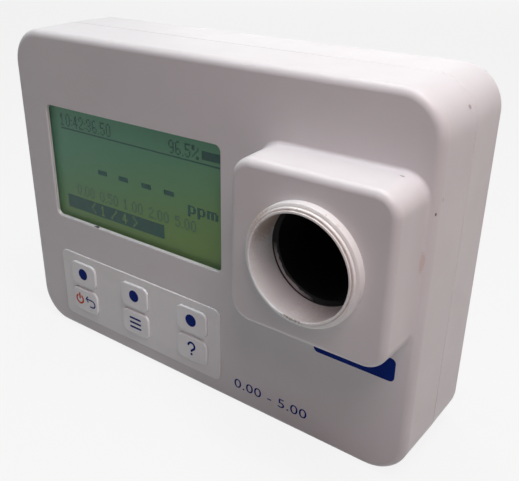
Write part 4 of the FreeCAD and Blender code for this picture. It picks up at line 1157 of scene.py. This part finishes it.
class PHOTOMETER_OT_back(bpy.types.Operator):
    """Battery cover, its turning marks and the case screws"""
    bl_idname = "photometer.back"
    bl_label = "Build the Back"

    def execute(self, context):
        dress("battery_cover", MATERIALS["cover_white"])
        x = (COVER_LOW.x + COVER_HIGH.x) / 2
        z = (COVER_LOW.z + COVER_HIGH.z) / 2
        radius = (COVER_HIGH.x - COVER_LOW.x) / 2
        self.marks(x, z, radius)
        self.screws(context)
        return {"FINISHED"}

    def marks(self, x, z, radius):
        """A pointer on the cover, and closed, arrow and open signs beside it."""
        proud = 0.05 * MM
        sunk = 0.02 * MM
        half, tall = 1.6 * MM, 3.4 * MM
        tip = radius - half
        pointer = [(x - half, z + tip - tall), (x + half, z + tip - tall), (x, z + tip)]
        mesh = prisms("cover_pointer", [pointer], BACK_Y - sunk, BACK_Y + proud)
        add_piece("cover_pointer", mesh, "cover", MATERIALS["mark_grey"])
        ring = radius + 2.9 * MM
        way_start, way_end, open_angle = 84, 38, math.radians(30)
        closed = round_outline(x, z + ring, 1.0 * MM, 24)
        way = arc(x, z, ring, way_start, way_end, 24)
        end = way[-1]
        heading = math.radians(way_end - 90)
        barb = 1.7 * MM
        head = []
        for side in (150, -150):
            a = heading + math.radians(side)
            head.append((end[0] + barb * math.cos(a), end[1] + barb * math.sin(a)))
        open_place = (x + ring * math.cos(open_angle), z + ring * math.sin(open_angle))
        outlines = [
            closed,
            stroke(way, 0.5 * MM),
            stroke([head[0], end, head[1]], 0.5 * MM),
            stroke(arc(open_place[0], open_place[1], 0.9 * MM, 0, 350, 24), 0.4 * MM),
        ]
        mesh = prisms("turning_marks", outlines, BACK_Y - sunk, BACK_Y + proud)
        add_piece("turning_marks", mesh, "casing", MATERIALS["mark_grey"])

    def screws(self, context):
        sizes = context.scene.photometer_sizes
        low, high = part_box("case_screws")
        seat = high.y - sizes.screw_height
        inset = sizes.screw_radius
        points = [(px, seat, pz)
                  for px in (low.x + inset, high.x - inset) for pz in (low.z + inset, high.z - inset)]
        mesh = baked("case_screws_crossed", point_mesh("screw_points", points), screw_tree(), {
            "Head Radius": sizes.screw_radius, "Head Height": sizes.screw_height,
            "Shank Radius": 1.5 * MM, "Shank Height": seat - low.y, "Recess Width": sizes.recess_width,
            "Recess Length": sizes.recess_length, "Recess Depth": sizes.recess_depth,
            "Material": MATERIALS["screw_steel"]})
        smooth(mesh, 35.0)
        screws = add_piece("case_screws_crossed", mesh, "casing")
        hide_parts("case_screws")


class PHOTOMETER_OT_inside(bpy.types.Operator):
    """Finishes of every piece that keeps its own mesh"""
    bl_idname = "photometer.inside"
    bl_label = "Finish the Inner Pieces"

    def execute(self, context):
        for node, slot in NODE_SLOTS.items():
            paint(node, MATERIALS[slot])
        return {"FINISHED"}


class PHOTOMETER_PT_panel(bpy.types.Panel):
    """Lists the steps that build the photometer's looks"""
    bl_idname = "PHOTOMETER_PT_panel"
    bl_label = "Photometer"
    bl_space_type = "VIEW_3D"
    bl_region_type = "UI"
    bl_category = "Photometer"

    def draw(self, context):
        for kind, name in GROUPS_OF_VALUES:
            box = self.layout.box()
            for key in kind.__annotations__:
                box.prop(getattr(context.scene, name), key)
        for operator in OPERATORS:
            self.layout.operator(operator.bl_idname)


OPERATORS = (
    PHOTOMETER_OT_stage, PHOTOMETER_OT_inside, PHOTOMETER_OT_casing, PHOTOMETER_OT_port,
    PHOTOMETER_OT_display, PHOTOMETER_OT_keypad, PHOTOMETER_OT_label, PHOTOMETER_OT_back,
)
GROUPS_OF_VALUES = (
    (PhotometerFinish, "photometer_finish"), (PhotometerSizes, "photometer_sizes"),
    (PhotometerStage, "photometer_stage"),
)


def register():
    for kind, name in GROUPS_OF_VALUES:
        bpy.utils.register_class(kind)
        setattr(bpy.types.Scene, name, PointerProperty(type=kind))
    for kind in OPERATORS + (PHOTOMETER_PT_panel,):
        bpy.utils.register_class(kind)


def unregister():
    for kind in (PHOTOMETER_PT_panel,) + OPERATORS[::-1]:
        bpy.utils.unregister_class(kind)
    for kind, name in GROUPS_OF_VALUES[::-1]:
        delattr(bpy.types.Scene, name)
        bpy.utils.unregister_class(kind)


def main():
    register()
    make_materials()
    for step in ("stage", "inside", "casing", "port", "display", "keypad", "label", "back"):
        getattr(bpy.ops.photometer, step)()


if __name__ == "__main__":
    main()
